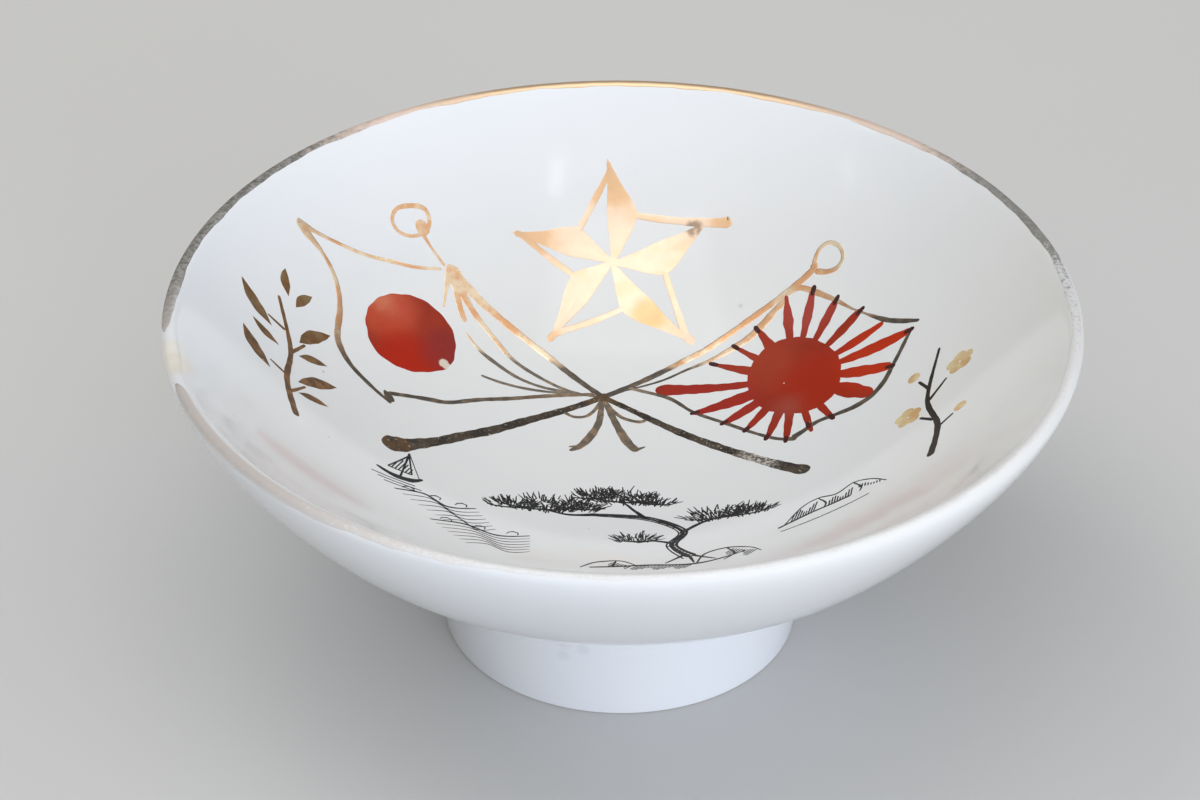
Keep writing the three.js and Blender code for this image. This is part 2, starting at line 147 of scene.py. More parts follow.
class CupSizes(bpy.types.PropertyGroup):
    """Sizes of the porcelain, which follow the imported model."""

    rim_radius: FloatProperty(
        name="Rim radius", description="Radius of the bowl at its widest", default=RIM_RADIUS, unit="LENGTH")
    foot_height: FloatProperty(
        name="Foot height", description="Height of the foot ring up to the bowl's flat bottom",
        default=FOOT_HEIGHT, unit="LENGTH")
    foot_top_radius: FloatProperty(
        name="Foot top radius", description="Outer radius of the foot where it meets the bowl",
        default=FOOT_TOP_RADIUS, unit="LENGTH")
    foot_base_radius: FloatProperty(
        name="Foot base radius", description="Outer radius of the foot where it stands",
        default=0.0151, unit="LENGTH")
    foot_wall: FloatProperty(
        name="Foot wall", description="Wall of the foot ring at its base", default=0.0025, unit="LENGTH")
    foot_edge: FloatProperty(
        name="Foot edge", description="Rounding of the foot's base edges", default=0.0002, unit="LENGTH")
    glaze_fillet: FloatProperty(
        name="Glaze fillet", description="Radius of the glaze that fills the corner above the foot",
        default=0.0021, unit="LENGTH")
    bowl_depth: FloatProperty(
        name="Bowl depth", description="From the bowl's flat bottom up to the top of the lip",
        default=0.0204, unit="LENGTH")
    lip_thickness: FloatProperty(
        name="Lip thickness", description="Thickness of the round lip", default=0.0014, unit="LENGTH")
    base_thickness: FloatProperty(
        name="Base thickness", description="Porcelain under the middle of the bowl",
        default=0.0026, unit="LENGTH")
    belly_radius: FloatProperty(
        name="Belly radius", description="Radius at which the flat underside turns up into the wall",
        default=0.0265, unit="LENGTH")
    belly_rise: FloatProperty(
        name="Belly rise", description="Height of that turn above the bowl's flat bottom",
        default=0.0058, unit="LENGTH")
    well_power: FloatProperty(
        name="Well power", description="How late the inside of the bowl climbs towards the lip", default=2.6)


class PaintSizes(bpy.types.PropertyGroup):
    """Sizes and colours of the fired decoration."""

    thickness: FloatProperty(
        name="Paint thickness", description="Height of a painted stroke over the glaze",
        default=0.000012, unit="LENGTH")
    print_thickness: FloatProperty(
        name="Print thickness", description="Height of a fine black line over the glaze",
        default=0.000008, unit="LENGTH")
    needle_count: IntProperty(
        name="Needles", description="Fine strokes in each crown of the pine", default=120, min=4)
    bright_gold: FloatVectorProperty(
        name="Bright gold", description="Gold that catches the light", subtype="COLOR",
        default=(1.0, 0.64, 0.38))
    pale_gold: FloatVectorProperty(
        name="Pale gold", description="Gold of the star's broad facets", subtype="COLOR",
        default=(0.92, 0.70, 0.53))
    brown_gold: FloatVectorProperty(
        name="Brown gold", description="Gold where it is thick and reads brown", subtype="COLOR",
        default=(0.22, 0.125, 0.055))
    # The dark gold of the lower poles is partly tarnish and partly painted shade for the dark surroundings
    # that the gold mirrors
    dark_gold: FloatVectorProperty(
        name="Dark gold", description="Gold that has tarnished nearly black", subtype="COLOR",
        default=(0.055, 0.042, 0.032))
    red: FloatVectorProperty(
        name="Red enamel", description="Iron red of the two suns", subtype="COLOR",
        default=(0.33, 0.030, 0.012))
    black: FloatVectorProperty(
        name="Black enamel", description="Black of the line drawing", subtype="COLOR",
        default=(0.018, 0.017, 0.019))


class StageSizes(bpy.types.PropertyGroup):
    """The floor, the lamps and the camera."""

    floor_size: FloatProperty(
        name="Floor size", description="Side of the square floor", default=6.0, unit="LENGTH")
    floor_colour: FloatVectorProperty(
        name="Floor colour", description="Plain pale floor", subtype="COLOR", default=(0.62, 0.62, 0.615))
    room_light: FloatProperty(
        name="Room light", description="Strength of the even light of the room", default=0.8)
    camera_distance: FloatProperty(
        name="Camera distance", description="From the camera to the middle of the cup's mouth",
        default=0.3, unit="LENGTH")
    camera_height: FloatProperty(
        name="Camera height angle", description="Angle of the view below the horizon",
        default=math.radians(32.8), unit="ROTATION")
    camera_tilt: FloatProperty(
        name="Camera tilt", description="Turn of the view about its own axis",
        default=math.radians(0.5), unit="ROTATION")
    lens: FloatProperty(name="Lens", description="Focal length in millimetres", default=110.2)


# Where the middle of the cup's mouth lies in the photograph's frame, in pixels
MOUTH_PIXEL = (621.8, 306.0)
SENSOR_WIDTH = 36.0

# The decoration's plan points are in hundredths of the radius of the bowl's inside at the
# lip, from its middle: to the right, then away from the viewer. Widths are in millimetres.
STAR_CENTRE = (-2.5, 67.5)
STAR_TIPS = [(-4, 87.5), (25.5, 74), (17.5, 46.7), (-17.7, 46.7), (-26.7, 71)]
FACET_TIPS = [(-4, 87.5), (20.5, 74.9), (17.5, 46.7), (-17.7, 46.7), (-26.7, 71)]
STAR_NOTCHES = [(3, 77.5), (10.3, 65), (0, 56.5), (-12, 64), (-11, 74)]
STAR_LINE = 0.56
# From the tip, the share of each arm along which its line and its facet are one
STAR_MERGES = (0.1, 0.02, 0.1, 0.12, 0.1)
# How far the orange reaches from each tip, in millimetres, partly a painted reflection of darker surroundings
# beyond the window that the star's middle mirrors
STAR_ORANGE_REFLECTION = (3.7, 0.9, -1, 0.9, 2.8)
# How broad each arm's line is at its tip, as a share of STAR_LINE
STAR_TIP_SWELLS = (0.6, 1.9, 1.6, 1.2, 0.75)
LINE_OVERLAP = 1.2
FACET_SWELL = 0.3
CENTRE_OVERLAP = 0.02

SUN_SOFTENING = 16
LEFT_SUN_CENTRE = (-50.5, 38.5)
LEFT_SUN_OUTLINE = [
    (-61, 35.5), (-61, 40), (-59, 43.7), (-55, 47.3), (-50, 49), (-45.5, 48.2), (-42, 45.8), (-40.2, 42),
    (-39.8, 37.5), (-40.7, 34), (-42.6, 31.5), (-45.5, 29.8), (-49, 28.2), (-53.5, 27.7), (-57.5, 28.7),
    (-60, 31.7),
]
RIGHT_SUN_CENTRE = (41, 31.5)
RIGHT_SUN_OUTLINE = [
    (30, 33.5), (30.8, 37.5), (32.7, 40.6), (36, 42.5), (40.5, 43), (45, 41), (49, 37.5), (51.5, 33),
    (52, 28), (51, 23.5), (49, 20.5), (46, 19), (42.5, 18.9), (38.5, 20.2), (34.5, 22.3), (31.5, 26),
    (30, 30),
]
# Where the reds change tone: a plan point, its reach in millimetres, its tone and its share
# The left sun's last tone, a small pale spot at its upper left, is a painted highlight
LEFT_SUN_TONES = [
    ((-56.5, 42), 2.6, (0.56, 0.080, 0.034), 0.7), ((-50.5, 30.5), 3.0, (0.42, 0.014, 0.000), 0.9),
    ((-42, 37.5), 1.9, (0.25, 0.022, 0.020), 0.75), ((-57, 44.6), 0.4, (0.66, 0.24, 0.13), 0.45),
]
RIGHT_SUN_TONES = [
    ((34, 37), 2.6, (0.36, 0.046, 0.018), 0.6), ((46.5, 27.5), 3.0, (0.35, 0.020, 0.003), 0.85),
    ((39.5, 22), 0.6, (0.30, 0.085, 0.062), 0.45), ((20, 26), 4.6, (0.33, 0.022, 0.014), 0.8),
    ((44, 51), 3.0, (0.40, 0.060, 0.045), 0.8), ((63, 29), 4.6, (0.48, 0.032, 0.006), 0.85),
]
# Where the reds are chipped through to the porcelain, and how far, in millimetres
LEFT_SUN_CHIPS = [((-42.6, 33.8), 0.34), ((-41.9, 33.2), 0.3)]
RIGHT_SUN_CHIPS = [((24.6, 20.9), 0.09), ((43.9, 15), 0.1), ((38.6, 30), 0.05)]
# Every ray of the right sun: its tip, and its width at the disc, in its middle and near its tip
RAYS = [
    ((39.5, 54), (0.34, 0.74, 0.36)), ((46, 53.5), (0.3, 0.7, 0.5)), ((51.5, 48.7), (0.3, 0.76, 0.56)),
    ((57, 43.2), (0.3, 0.82, 0.6)), ((62, 36.8), (0.3, 0.85, 0.45)), ((68, 30.7), (0.3, 1.0, 0.7)),
    ((63.3, 23.3), (0.5, 0.95, 0.8)), ((58.7, 17.3), (0.6, 1.25, 1.0)), ((49.5, 14), (0.75, 0.55, 0.4)),
    ((44.5, 11.5), (0.65, 0.52, 0.36)), ((38.5, 10.3), (0.8, 0.6, 0.43)), ((34, 12.3), (0.85, 0.63, 0.4)),
    ((29, 16.5), (0.9, 0.62, 0.4)), ((24, 20.2), (0.95, 0.75, 0.6)), ((17, 24.7), (1.1, 0.97, 0.55)),
    ((8, 33.3), (0.5, 0.8, 1.05)), ((21.5, 40), (0.85, 0.62, 0.3)), ((27, 44), (0.75, 0.45, 0.28)),
    ((32.5, 47.7), (1.1, 0.66, 0.34)),
]
# Where the flag's dark border crosses the tips of the rays
RAY_CAPS = [
    (32.5, 47.3), (27.3, 43.7), (22, 39.8), (46, 52.9), (51.3, 48.3), (56.8, 42.8), (67.6, 30.8), (17.4, 25),
    (24.3, 20.6), (29.4, 17.2), (34.1, 13.2), (38.5, 11), (43.8, 14.2), (49.2, 14.6), (63, 23.2),
]
RAY_SPREAD = 1.22
RAY_ROOT = 8.8
# Where along a ray its widths are given, and its tip's share of the last width
RAY_STOPS = (0, 0.5, 0.85, 1)
RAY_TIP = 0.7
RAY_CAP_LENGTH = 0.9
RAY_CAP_WIDTHS = (0.34, 0.46, 0.34)

# Each painted line: its plan points, and its width all along or at every point
GOLD_LINES = {
    "left_flag_top": [([(-77.7, 50.2), (-73.5, 50.7), (-68.5, 51.6), (-62, 52.8), (-56, 54.5),
        (-50.5, 55.8), (-44, 58)], (0.7, 0.34, 0.3, 0.3, 0.32, 0.28, 0.22))],
    "right_flag_top": [([(38, 53.2), (41, 54.7), (43.5, 54.4), (47.5, 51.5), (51.5, 48), (55, 44.3),
        (58.5, 41), (62.5, 37.2), (66, 34.6), (70, 32)], (0.5, 0.55, 0.5, 0.46, 0.36, 0.18, 0.22, 0.42,
        0.44, 0.24))],
    "right_flag_hoist": [([(-2, 32.5), (9, 36), (15.5, 39), (21, 41), (25, 42.8), (29.5, 45), (33, 47.5),
        (36.5, 50.7), (39.5, 53)], (0.22, 0.22, 0.26, 0.36, 0.52, 0.66, 0.7, 0.66, 0.6))],
    "left_pole_upper": [([(-42.6, 59.5), (-41.5, 58.3), (-40, 56.3), (-37.5, 54.6)], (0.6, 1.55, 1.5, 0.8)),
        ([(-41, 58), (-37.5, 55.7), (-34, 53.2), (-29, 50), (-23, 46), (-17.5, 42), (-12.5, 37.8),
        (-4.5, 31)], (0.9, 0.95, 0.76, 0.66, 0.63, 0.62, 0.56, 0.54))],
    "right_pole_upper": [([(46.7, 58.2), (44, 56.7), (38.5, 54), (33, 51.5), (26.5, 48), (20, 44.2),
        (13.5, 41), (4.5, 36), (-4.5, 31)], (0.55, 0.66, 0.62, 0.6, 0.59, 0.6, 0.57, 0.54, 0.54))],
    "left_finial_ring": [([(-49, 63.7), (-51.5, 62.3), (-54.3, 62), (-56, 63.6), (-55, 66.5), (-51.5, 68.7),
        (-48.3, 69.3), (-47.2, 67), (-48.2, 64.5)], (0.26, 0.26, 0.3, 0.34, 0.3, 0.34, 0.42, 0.38, 0.46)),
        ([(-48, 66.6), (-48.8, 65.2), (-48.6, 63.4)], (0.9, 1.5, 0.5))],
    "left_finial_stem": [([(-48.7, 64), (-46.5, 61.8), (-43.2, 59)], (0.45, 0.22, 0.28))],
    "right_finial_ring": [([(46.3, 58), (46.6, 60.2), (47.8, 62), (50, 62.3), (52.3, 60.5), (53.1, 57.8),
        (51.8, 56), (49.3, 56), (46.5, 57.3)], (0.5, 0.42, 0.36, 0.34, 0.3, 0.36, 0.44, 0.42, 0.5)),
        ([(45.8, 57.6), (46.8, 59.2)], (0.8, 0.7))],
}
CORD_LINES = {
    "cord_1": [([(-40.5, 56.5), (-35.8, 50), (-30.5, 44.3), (-26.8, 40.3), (-22, 37), (-13.5, 32.7),
        (-6, 31)], (0.8, 0.55, 0.46, 0.4, 0.34, 0.32, 0.24))],
    "cord_2": [([(-37.7, 44.2), (-34.5, 40.7), (-31, 38.2), (-25, 34.7), (-19, 32.8), (-12, 31.9),
        (-7, 31.2)], (0.2, 0.3, 0.42, 0.32, 0.3, 0.3, 0.2))],
    "cord_3": [([(-33.7, 33.2), (-28.5, 32.2), (-22, 31.6), (-13, 31.5)], (0.22, 0.3, 0.3, 0.26))],
    "cord_end": [([(-42.3, 57), (-42.8, 53), (-43.2, 49)], (0.6, 0.3, 0.16)), ([(-40.8, 57), (-39.6, 51.5),
        (-38, 47)], (0.8, 0.55, 0.46))],
}
FLAG_LINES = {
    "left_flag_fly": [([(-77.7, 50.3), (-75.5, 49.2), (-71.5, 47), (-69, 44), (-67.5, 40), (-67, 35),
        (-67.2, 30.5), (-66.8, 26.5), (-64, 22), (-59, 18.3), (-54, 15.3)], (0.7, 0.78, 0.38, 0.4, 0.46,
        0.5, 0.56, 0.58, 0.52, 0.42, 0.34))],
    "left_flag_foot": [([(-55.8, 18.8), (-54.6, 17), (-53.4, 16.2)], (0.25, 0.75, 0.5)), ([(-55, 18.3),
        (-50, 20), (-45.5, 21.1), (-41, 22), (-34, 25.3), (-26.5, 27.7), (-17.5, 30.2), (-6, 32)], (0.4,
        0.42, 0.5, 0.44, 0.44, 0.44, 0.42, 0.34))],
    "right_flag_fly": [([(68.3, 31.4), (66, 27.3), (63.5, 23), (61.3, 19.3), (58.3, 16.6), (54.5, 15.3),
        (50.5, 15), (46, 14.5), (42.5, 12.5), (40, 11)], (0.33, 0.38, 0.43, 0.49, 0.58, 0.55, 0.46, 0.44,
        0.5, 0.85))],
    "right_flag_foot": [([(1.5, 34.2), (11, 30.6), (17, 25.3), (24.5, 20.4), (32.5, 14.6), (37, 11.7),
        (41, 10.5)], (0.34, 0.38, 0.33, 0.38, 0.34, 0.38, 0.6))],
}
POLE_LINES = {
    "left_pole_lower": [([(-4.5, 31), (-13.5, 26), (-22.5, 21), (-30.5, 15.8), (-37, 11.8), (-41, 8.8),
        (-45.5, 5.6), (-49, 3.2), (-51.3, 1.9), (-53, 1)], (0.57, 0.71, 0.86, 0.96, 1.0, 1.0, 1.12, 1.35,
        1.6, 1.7)), ([(-12.3, 26), (-14, 26.4)], (0.5, 0.8)), ([(-55.4, 0.3), (-53.4, 0.9), (-50.8, 2.0),
        (-47.4, 4.1)], (1.5, 1.95, 1.85, 1.2))],
    "right_pole_lower": [([(-4.5, 31), (1.5, 27.3), (7, 23.4), (13.5, 18.6), (20, 14), (26, 9.8), (32, 5.5),
        (37.5, 1.3), (41, -1.3), (43.5, -2.8)], (0.52, 0.57, 0.66, 0.78, 0.84, 0.88, 0.96, 1.1, 1.3, 1.3))],
    "bow_knot": [([(-6, 31.5), (-4.5, 30.7), (-3, 30.2)], (0.7, 1.3, 0.7))],
}
BOW_LINES = {
    "bow_loop_left": [([(-5, 29.5), (-6.6, 26.3), (-8.6, 24.2), (-11.5, 23.9), (-14, 25.5)], (0.36, 0.32,
        0.32, 0.34, 0.35))],
    "bow_loop_right": [([(-4, 29.7), (-2, 26.4), (0.5, 23.9), (4.3, 22.6), (6.3, 23.7)], (0.36, 0.34, 0.37,
        0.4, 0.2))],
    "bow_tail_left": [([(-4.9, 30), (-5, 25.5), (-5.6, 21.5), (-7.5, 16.8), (-9.8, 13.2), (-12.2, 11.4)],
        (0.5, 0.52, 0.66, 0.76, 0.7, 0.3)), ([(-9.5, 13.3), (-12.4, 12.9)], (0.5, 0.12))],
    "bow_tail_right": [([(-4.2, 30), (-2.6, 25.5), (-0.6, 20), (1.5, 15), (3.8, 11.6)], (0.45, 0.56, 0.72,
        0.84, 0.75)), ([(3, 12), (5.6, 13.4)], (0.6, 0.12))],
}

# The lip's gilding: places round the rim, from the right towards the back, and where the band
# starts on the lip's outside and ends on its inside there, all in degrees
LIP_BAND_AT = (-161, -145, -120, -90, -30, 0, 45, 90, 135, 186)
LIP_BAND_OUTER = (-4, 0, 30, 60, 66, 58, 45, 30, 15, -5)
LIP_BAND_INNER = (116, 118, 118, 116, 116, 124, 130, 134, 130, 120)
LIP_BAND_START = -161
LIP_BAND_END = 187
LIP_BAND_STEPS = 41
# Over how many degrees each end of the band narrows
LIP_BAND_CLOSING = 5

# The sprigs at the sides: leaves and petals about their plan centres. The small leaves and
# the twigs that carry them are painted with the stems.
LEFT_STEM = [(-74, -7), (-77, 4.5), (-77, 15.5), (-80.5, 28.5)]
LEAVES = {"left_sprig_leaf_1": ((-70.5, 9), 35), "left_sprig_leaf_2": ((-84, 8.5), 130),
          "left_sprig_leaf_3": ((-72, 23), 50), "left_sprig_leaf_4": ((-85, 22), 135)}
LEAF_HALF_LENGTH = 1.85
LEAF_WIDTH = 1.15
LEAF_BEND = 0.12
SMALL_LEAVES = [((-72, 16), 20), ((-82.5, 15.5), 155), ((-79, 33.5), 100), ((-75, 31.5), 60),
                ((-71, 3), 10)]
SMALL_LEAF = 0.66
LEFT_TWIGS = [[(-76, 1), (-73, 6)], [(-77, 6), (-81, 7.5)], [(-77, 14), (-74, 19.5)],
              [(-78.5, 20), (-82.5, 21)]]
RIGHT_STEM = [(69.5, -18), (72, -6), (70.5, 6), (74, 20.5)]
BLOSSOMS = {"right_sprig_blossom_1": (66, 3), "right_sprig_blossom_2": (78, 12)}
RIGHT_TWIGS = [[(71.4, -3), (68.5, 0.5)], [(70.6, 5), (75, 9.5)], [(71.2, 9), (69, 13.5)],
               [(71.8, -7), (75.5, -5)]]
BUDS = {"right_sprig_bud_1": (68, 15.5), "right_sprig_bud_2": (77, -4)}
PETALS = 5
# How far the first petal is turned from the right, as a share of a whole turn
PETAL_TURN = 0.05
PETAL_RADIUS = 0.52
PETAL_REACH = 0.58
BUD_RADIUS = 0.5
DOT_CORNERS = 8

# The black drawing at the front: a pine that leans over water, a boat and a far shore
PINE_TRUNK = [(15.5, -34.5), (11.5, -28), (14, -21.5), (6, -15.5), (-7, -14)]
# The trunk's breadth along it, from its foot, in hundredths as the plan points are
PINE_BREADTHS = (3.2, 2.3, 1.9, 1.4, 0.8)
PINE_ROOTS = [[(14.5, -33), (10, -37.3)], [(15.5, -34), (16.5, -38)], [(16, -33.5), (21.5, -36.8)]]
PINE_BRANCHES = [[(13.5, -22.5), (18, -18.5), (22, -16.8), (28, -16.5)],
                 [(6, -15.7), (3, -12), (0.5, -9), (-4, -8.3)],
                 [(-6, -14), (-12, -14.4), (-17.5, -13), (-25, -13.3)], [(12, -27), (7.5, -25.5), (4, -26.3)]]
CROWNS = {"pine_crown_1": [((-17.5, -11.5), 1.0, 4), ((-25, -12.5), 0.62, 8), ((-10, -11), 0.7, -4)],
          "pine_crown_2": [((0.5, -7.5), 0.85, -6), ((-5.5, -6.5), 0.6, 6), ((6.5, -8.5), 0.6, -12)],
          "pine_crown_3": [((22, -15.5), 0.8, 8), ((29, -15.5), 0.6, 2), ((3.5, -25), 0.5, 0)]}
CROWN_HALF_WIDTH = 3.4
CROWN_HALF_HEIGHT = 1.2
# The needles: their lengths in millimetres, how far the outer ones lean and how far any may
# sway in degrees, their widths, and how far the line under a clump sags
NEEDLE_LENGTHS = (0.6, 1.2)
NEEDLE_FAN = 62
NEEDLE_SWAY = 22
NEEDLE_WIDTHS = (0.15, 0.08)
CLUMP_SAG = 1.4
WAVES = {"wave_1": [(-51.5, -17.5), (-45, -15.5), (-39.5, -18.5), (-33, -16.5)],
         "wave_2": [(-43, -27), (-35.5, -25), (-28, -27.5), (-20.5, -25.5)]}
WAVE_ROWS = 6
# How each echo of a wave is set off and narrowed, and the curl between two of its points
ECHO_STEP = (-1.2, -1.35)
ECHO_NARROWING = 0.06
WAVE_CURL = [(-1.6, 0.6), (-0.6, 2.0), (1.0, 1.7), (0.9, 0.5)]
SHORE = [(-7, -39.5), (5.5, -38), (17.5, -38.5), (28, -34.5)]
ROCKS = [[(17, -38.5), (19, -33.5), (24, -31.5), (29, -33), (31.5, -36)],
         [(24, -31.8), (25.5, -35), (23, -38)],
         [(-9, -39.8), (-5.5, -36.5), (0, -35.5), (3.5, -38)], [(-1, -35.7), (-2, -39)]]
FAR_SHORE = [(35.5, -26), (43, -22), (52, -19.5)]
FAR_HILLS = [[(37, -25), (41, -18.5), (45, -16), (49, -16.5), (53, -14), (57, -15.5), (60, -19)],
             [(45, -16.2), (46.5, -19), (46, -21)], [(53, -14.2), (54.5, -17), (54, -19)]]
SAIL = [(-53.5, -8.5), (-48, -9), (-49, -1.5)]
MAST = [(-50.5, -11), (-49, -0.5)]
STAY = [(-49, -0.5), (-46.3, -9.8)]
HULL = [(-56, -10), (-52, -11.6), (-48, -11.4), (-45.5, -9.6)]
PRINT_LINE = 0.23
HATCH_LINE = 0.125
# Hatched places of the shores and the sail: first foot, last foot, how many strokes, and their way
SHORE_HATCHING = [((25.5, -32.5), (30.5, -35), 9, (-2.6, -2.6)), ((-1.5, -36.3), (2.5, -38.2), 8, (-1.8, -2)),
                  ((4, -38.4), (16, -38.9), 16, (-2.4, -2.2))]
FAR_HATCHING = [((38.5, -24.3), (43.5, -22), 9, (1.2, 4.6)), ((47, -21.2), (52, -19.6), 9, (0.6, 3.6)),
                ((54, -17.3), (58.5, -18.6), 8, (0.2, 1.8))]
SAIL_HATCHING = [((-52.6, -8.4), (-48.8, -9), 6, (1.7, 4.6))]
# Ripples: the first one's ends, how far each end moves from one to the next, and how many
FAR_RIPPLES = ([(36, -28), (44, -25.5)], [(4, 1.2), (4, 1.2)], 4)
BOAT_RIPPLES = ([(-57, -13), (-47, -13.4)], [(1.5, -1.2), (1.5, -1.1)], 3)

# Gold of the borders, the thin lines, the cords, the bow and the left sprig where it is tarnished and
# painted dark as shade for the dark surroundings that it mirrors, then the untarnished gold of the left
# sprig and of the blossoms
BORDER_TARNISH_AND_SHADE = (0.11, 0.095, 0.078)
LINE_TARNISH_AND_SHADE = (0.11, 0.095, 0.08)
CORD_TARNISH_AND_SHADE = (0.17, 0.155, 0.13)
BOW_TARNISH_AND_SHADE = (0.19, 0.155, 0.12)
SPRIG_TARNISH_AND_SHADE = (0.15, 0.085, 0.04)
SPRIG_GOLD = (0.27, 0.15, 0.06)
BLOSSOM_GOLD = (0.82, 0.60, 0.30)
# Dark enamel of the ray caps and of the right sprig
MAROON = (0.055, 0.014, 0.012)
BROWN_BLACK = (0.030, 0.022, 0.014)
# Where the golds of the poles and of the star differ, as plan points
POLE_BULB = (-52.3, 1.4)
POLE_KNOT = (-5, 30.8)
POLE_RUBBED = (32, 5.5)
STAR_YELLOW = (6.5, 55)
STAR_RUBBED = (17.3, 73.9)
# Pinholes in the glaze, each with its reach, and smudges on the foot, in millimetres
PINHOLES = (((10.7, 32.8, 26.5), 0.45), ((10.3, 19.6, 18.2), 0.4), ((-34.6, 6.2, 28.6), 0.4))
FOOT_SMUDGES = ((-4.6, -14.9, 6.0), (-4.5, -14.95, 7.2), (-3.0, -15.4, 7.0))

# Each lamp: its place and size in metres, its brightness, its colour, and whether the glaze
# mirrors it
LAMPS = {
    "window": ((-0.017, 0.011, 0.5), (0.254, 0.337), 0.86, (0.98, 0.99, 1.0), True),
    "window_pane_left": ((0.127, -0.221, 0.5), (0.026, 0.072), 3.0, (0.93, 0.97, 1.0), True),
    "window_pane_right": ((-0.485, -0.116, 0.5), (0.024, 0.06), 2.4, (0.93, 0.97, 1.0), True),
    "sun_pane": ((0.4, 0.2, 0.5), (0.05, 0.05), 4.0, (1.0, 0.98, 0.95), True),
    "key": ((0.42, -0.3, 0.5), (0.5, 0.5), 0.35, (0.98, 0.99, 1.0), False),
    "left_fill": ((-0.28, 0.14, 0.50), (0.34, 0.34), 2.2, (1.0, 0.975, 0.93), False),
    "front_fill": ((0.34, -0.58, 0.10), (0.4, 0.2), 10.0, (0.70, 0.80, 1.0), False),
}
# How far below the lip's top the middle of the cup's mouth is taken, in metres
MOUTH_DROP = 0.0004


def mesh_of(shells):
    """Joins shells, each a pair of points in millimetres and faces, into one pair."""
    points = []
    faces = []
    start = 0
    for shell_points, shell_faces in shells:
        points.append(shell_points)
        faces.extend([[corner + start for corner in face] for face in shell_faces])
        start += len(shell_points)
    return np.vstack(points), faces


def skin(sections, ring=False):
    """Skins a grid of sections, whose points go round closed loops.

    sections[s, k] is point k of loop s. Neighbouring loops are joined by four-sided faces.
    The two ends are closed by fans about the mean of their loop, or joined to each other.
    The faces are turned over if the volume that they hold comes out negative.
    """
    rows, loop, _ = sections.shape
    index = np.arange(rows * loop).reshape(rows, loop)
    after = np.roll(index, -1, axis=1)
    if ring:
        index = np.vstack([index, index[:1]])
        after = np.vstack([after, after[:1]])
    quads = np.stack([index[:-1], after[:-1], after[1:], index[1:]], axis=-1).reshape(-1, 4)
    points = sections.reshape(-1, 3)
    caps = np.empty((0, 3), int)
    if not ring:
        first, last = rows * loop, rows * loop + 1
        points = np.vstack([points, sections[0].mean(axis=0), sections[-1].mean(axis=0)])
        caps = np.vstack([
            np.stack([after[0], index[0], np.full(loop, first)], axis=-1),
            np.stack([index[-1], after[-1], np.full(loop, last)], axis=-1),
        ])
    triangles = np.vstack([quads[:, [0, 1, 2]], quads[:, [0, 2, 3]], caps])
    a, b, c = (points[triangles[:, side]] for side in range(3))
    if np.einsum("ij,ij->", a, np.cross(b, c)) < 0:
        quads = quads[:, ::-1]
        caps = caps[:, ::-1]
    return points, quads.tolist() + caps.tolist()


def turned(profile, ring=False):
    """Turns a profile of radii and heights about the upright axis.

    The point at angle t is (r cos t, r sin t, z).
    """
    angles = np.arange(TURN_STEPS) * 2 * math.pi / TURN_STEPS
    r, z = profile[:, :1], profile[:, 1:]
    grid = np.stack([r * np.cos(angles), r * np.sin(angles), z + 0 * angles], axis=-1)
    return skin(grid, ring)


def smooth_line(points, step, closed=False):
    """A curve through plan points, as evenly spaced points and their places along the list.

    Between two points the curve is the cubic whose slope at each of them is half the way
    from the point before it to the point after it. The ends of an open curve are sampled
    more closely, so that a stroke closes round there.
    """
    p = np.asarray(points, float)
    p = np.vstack([p[-1], p, p[0], p[1]] if closed else [p[0], p, p[-1]])
    parts = len(p) - 3
    t = np.linspace(0, parts, parts * CURVE_STEPS + 1)
    i = np.minimum(t.astype(int), parts - 1)
    f = (t - i)[:, None]
    before, here, there, beyond = p[i], p[i + 1], p[i + 2], p[i + 3]
    slope_here = (there - before) / 2
    slope_there = (beyond - here) / 2
    curve = (here * (2 * f**3 - 3 * f**2 + 1) + there * (3 * f**2 - 2 * f**3)
             + slope_here * (f**3 - 2 * f**2 + f) + slope_there * (f**3 - f**2))
    run = np.concatenate([[0], np.cumsum(np.linalg.norm(np.diff(curve, axis=0), axis=1))])
    count = max(4, int(math.ceil(run[-1] / step)))
    even = np.linspace(0, run[-1], count + 1)
    if not closed and run[-1] > 4 * END_STEPS[-1]:
        ends = np.array(END_STEPS)
        even = np.unique(np.concatenate([even, ends, run[-1] - ends]))
    place = np.interp(even, run, t)
    line = np.stack([np.interp(place, t, curve[:, axis]) for axis in range(2)], axis=-1)
    return (line[:-1], place[:-1], even[:-1]) if closed else (line, place, even)


def around(turns):
    """The unit directions at angles from the right, as plan points."""
    return np.stack([np.cos(turns), np.sin(turns)], axis=-1)


def sideways(line):
    """The unit directions along a line of plan points and across it."""
    along = np.gradient(line, axis=0)
    along /= np.linalg.norm(along, axis=1, keepdims=True)
    return along, np.stack([-along[:, 1], along[:, 0]], axis=-1)


def film_across(places, thickness):
    """Places u across a film of paint, from -1 to 1, and the film's height at each.

    The height is the thickness times the root of 1 - u to the sixth. The last two places
    are the underside's, which lies just inside the glaze.
    """
    u = np.array([*places, *UNDERSIDE])
    height = thickness * np.sqrt(np.clip(1 - u**6, 0, 1))
    height[-2:] = -PAINT_SINK
    return u, height


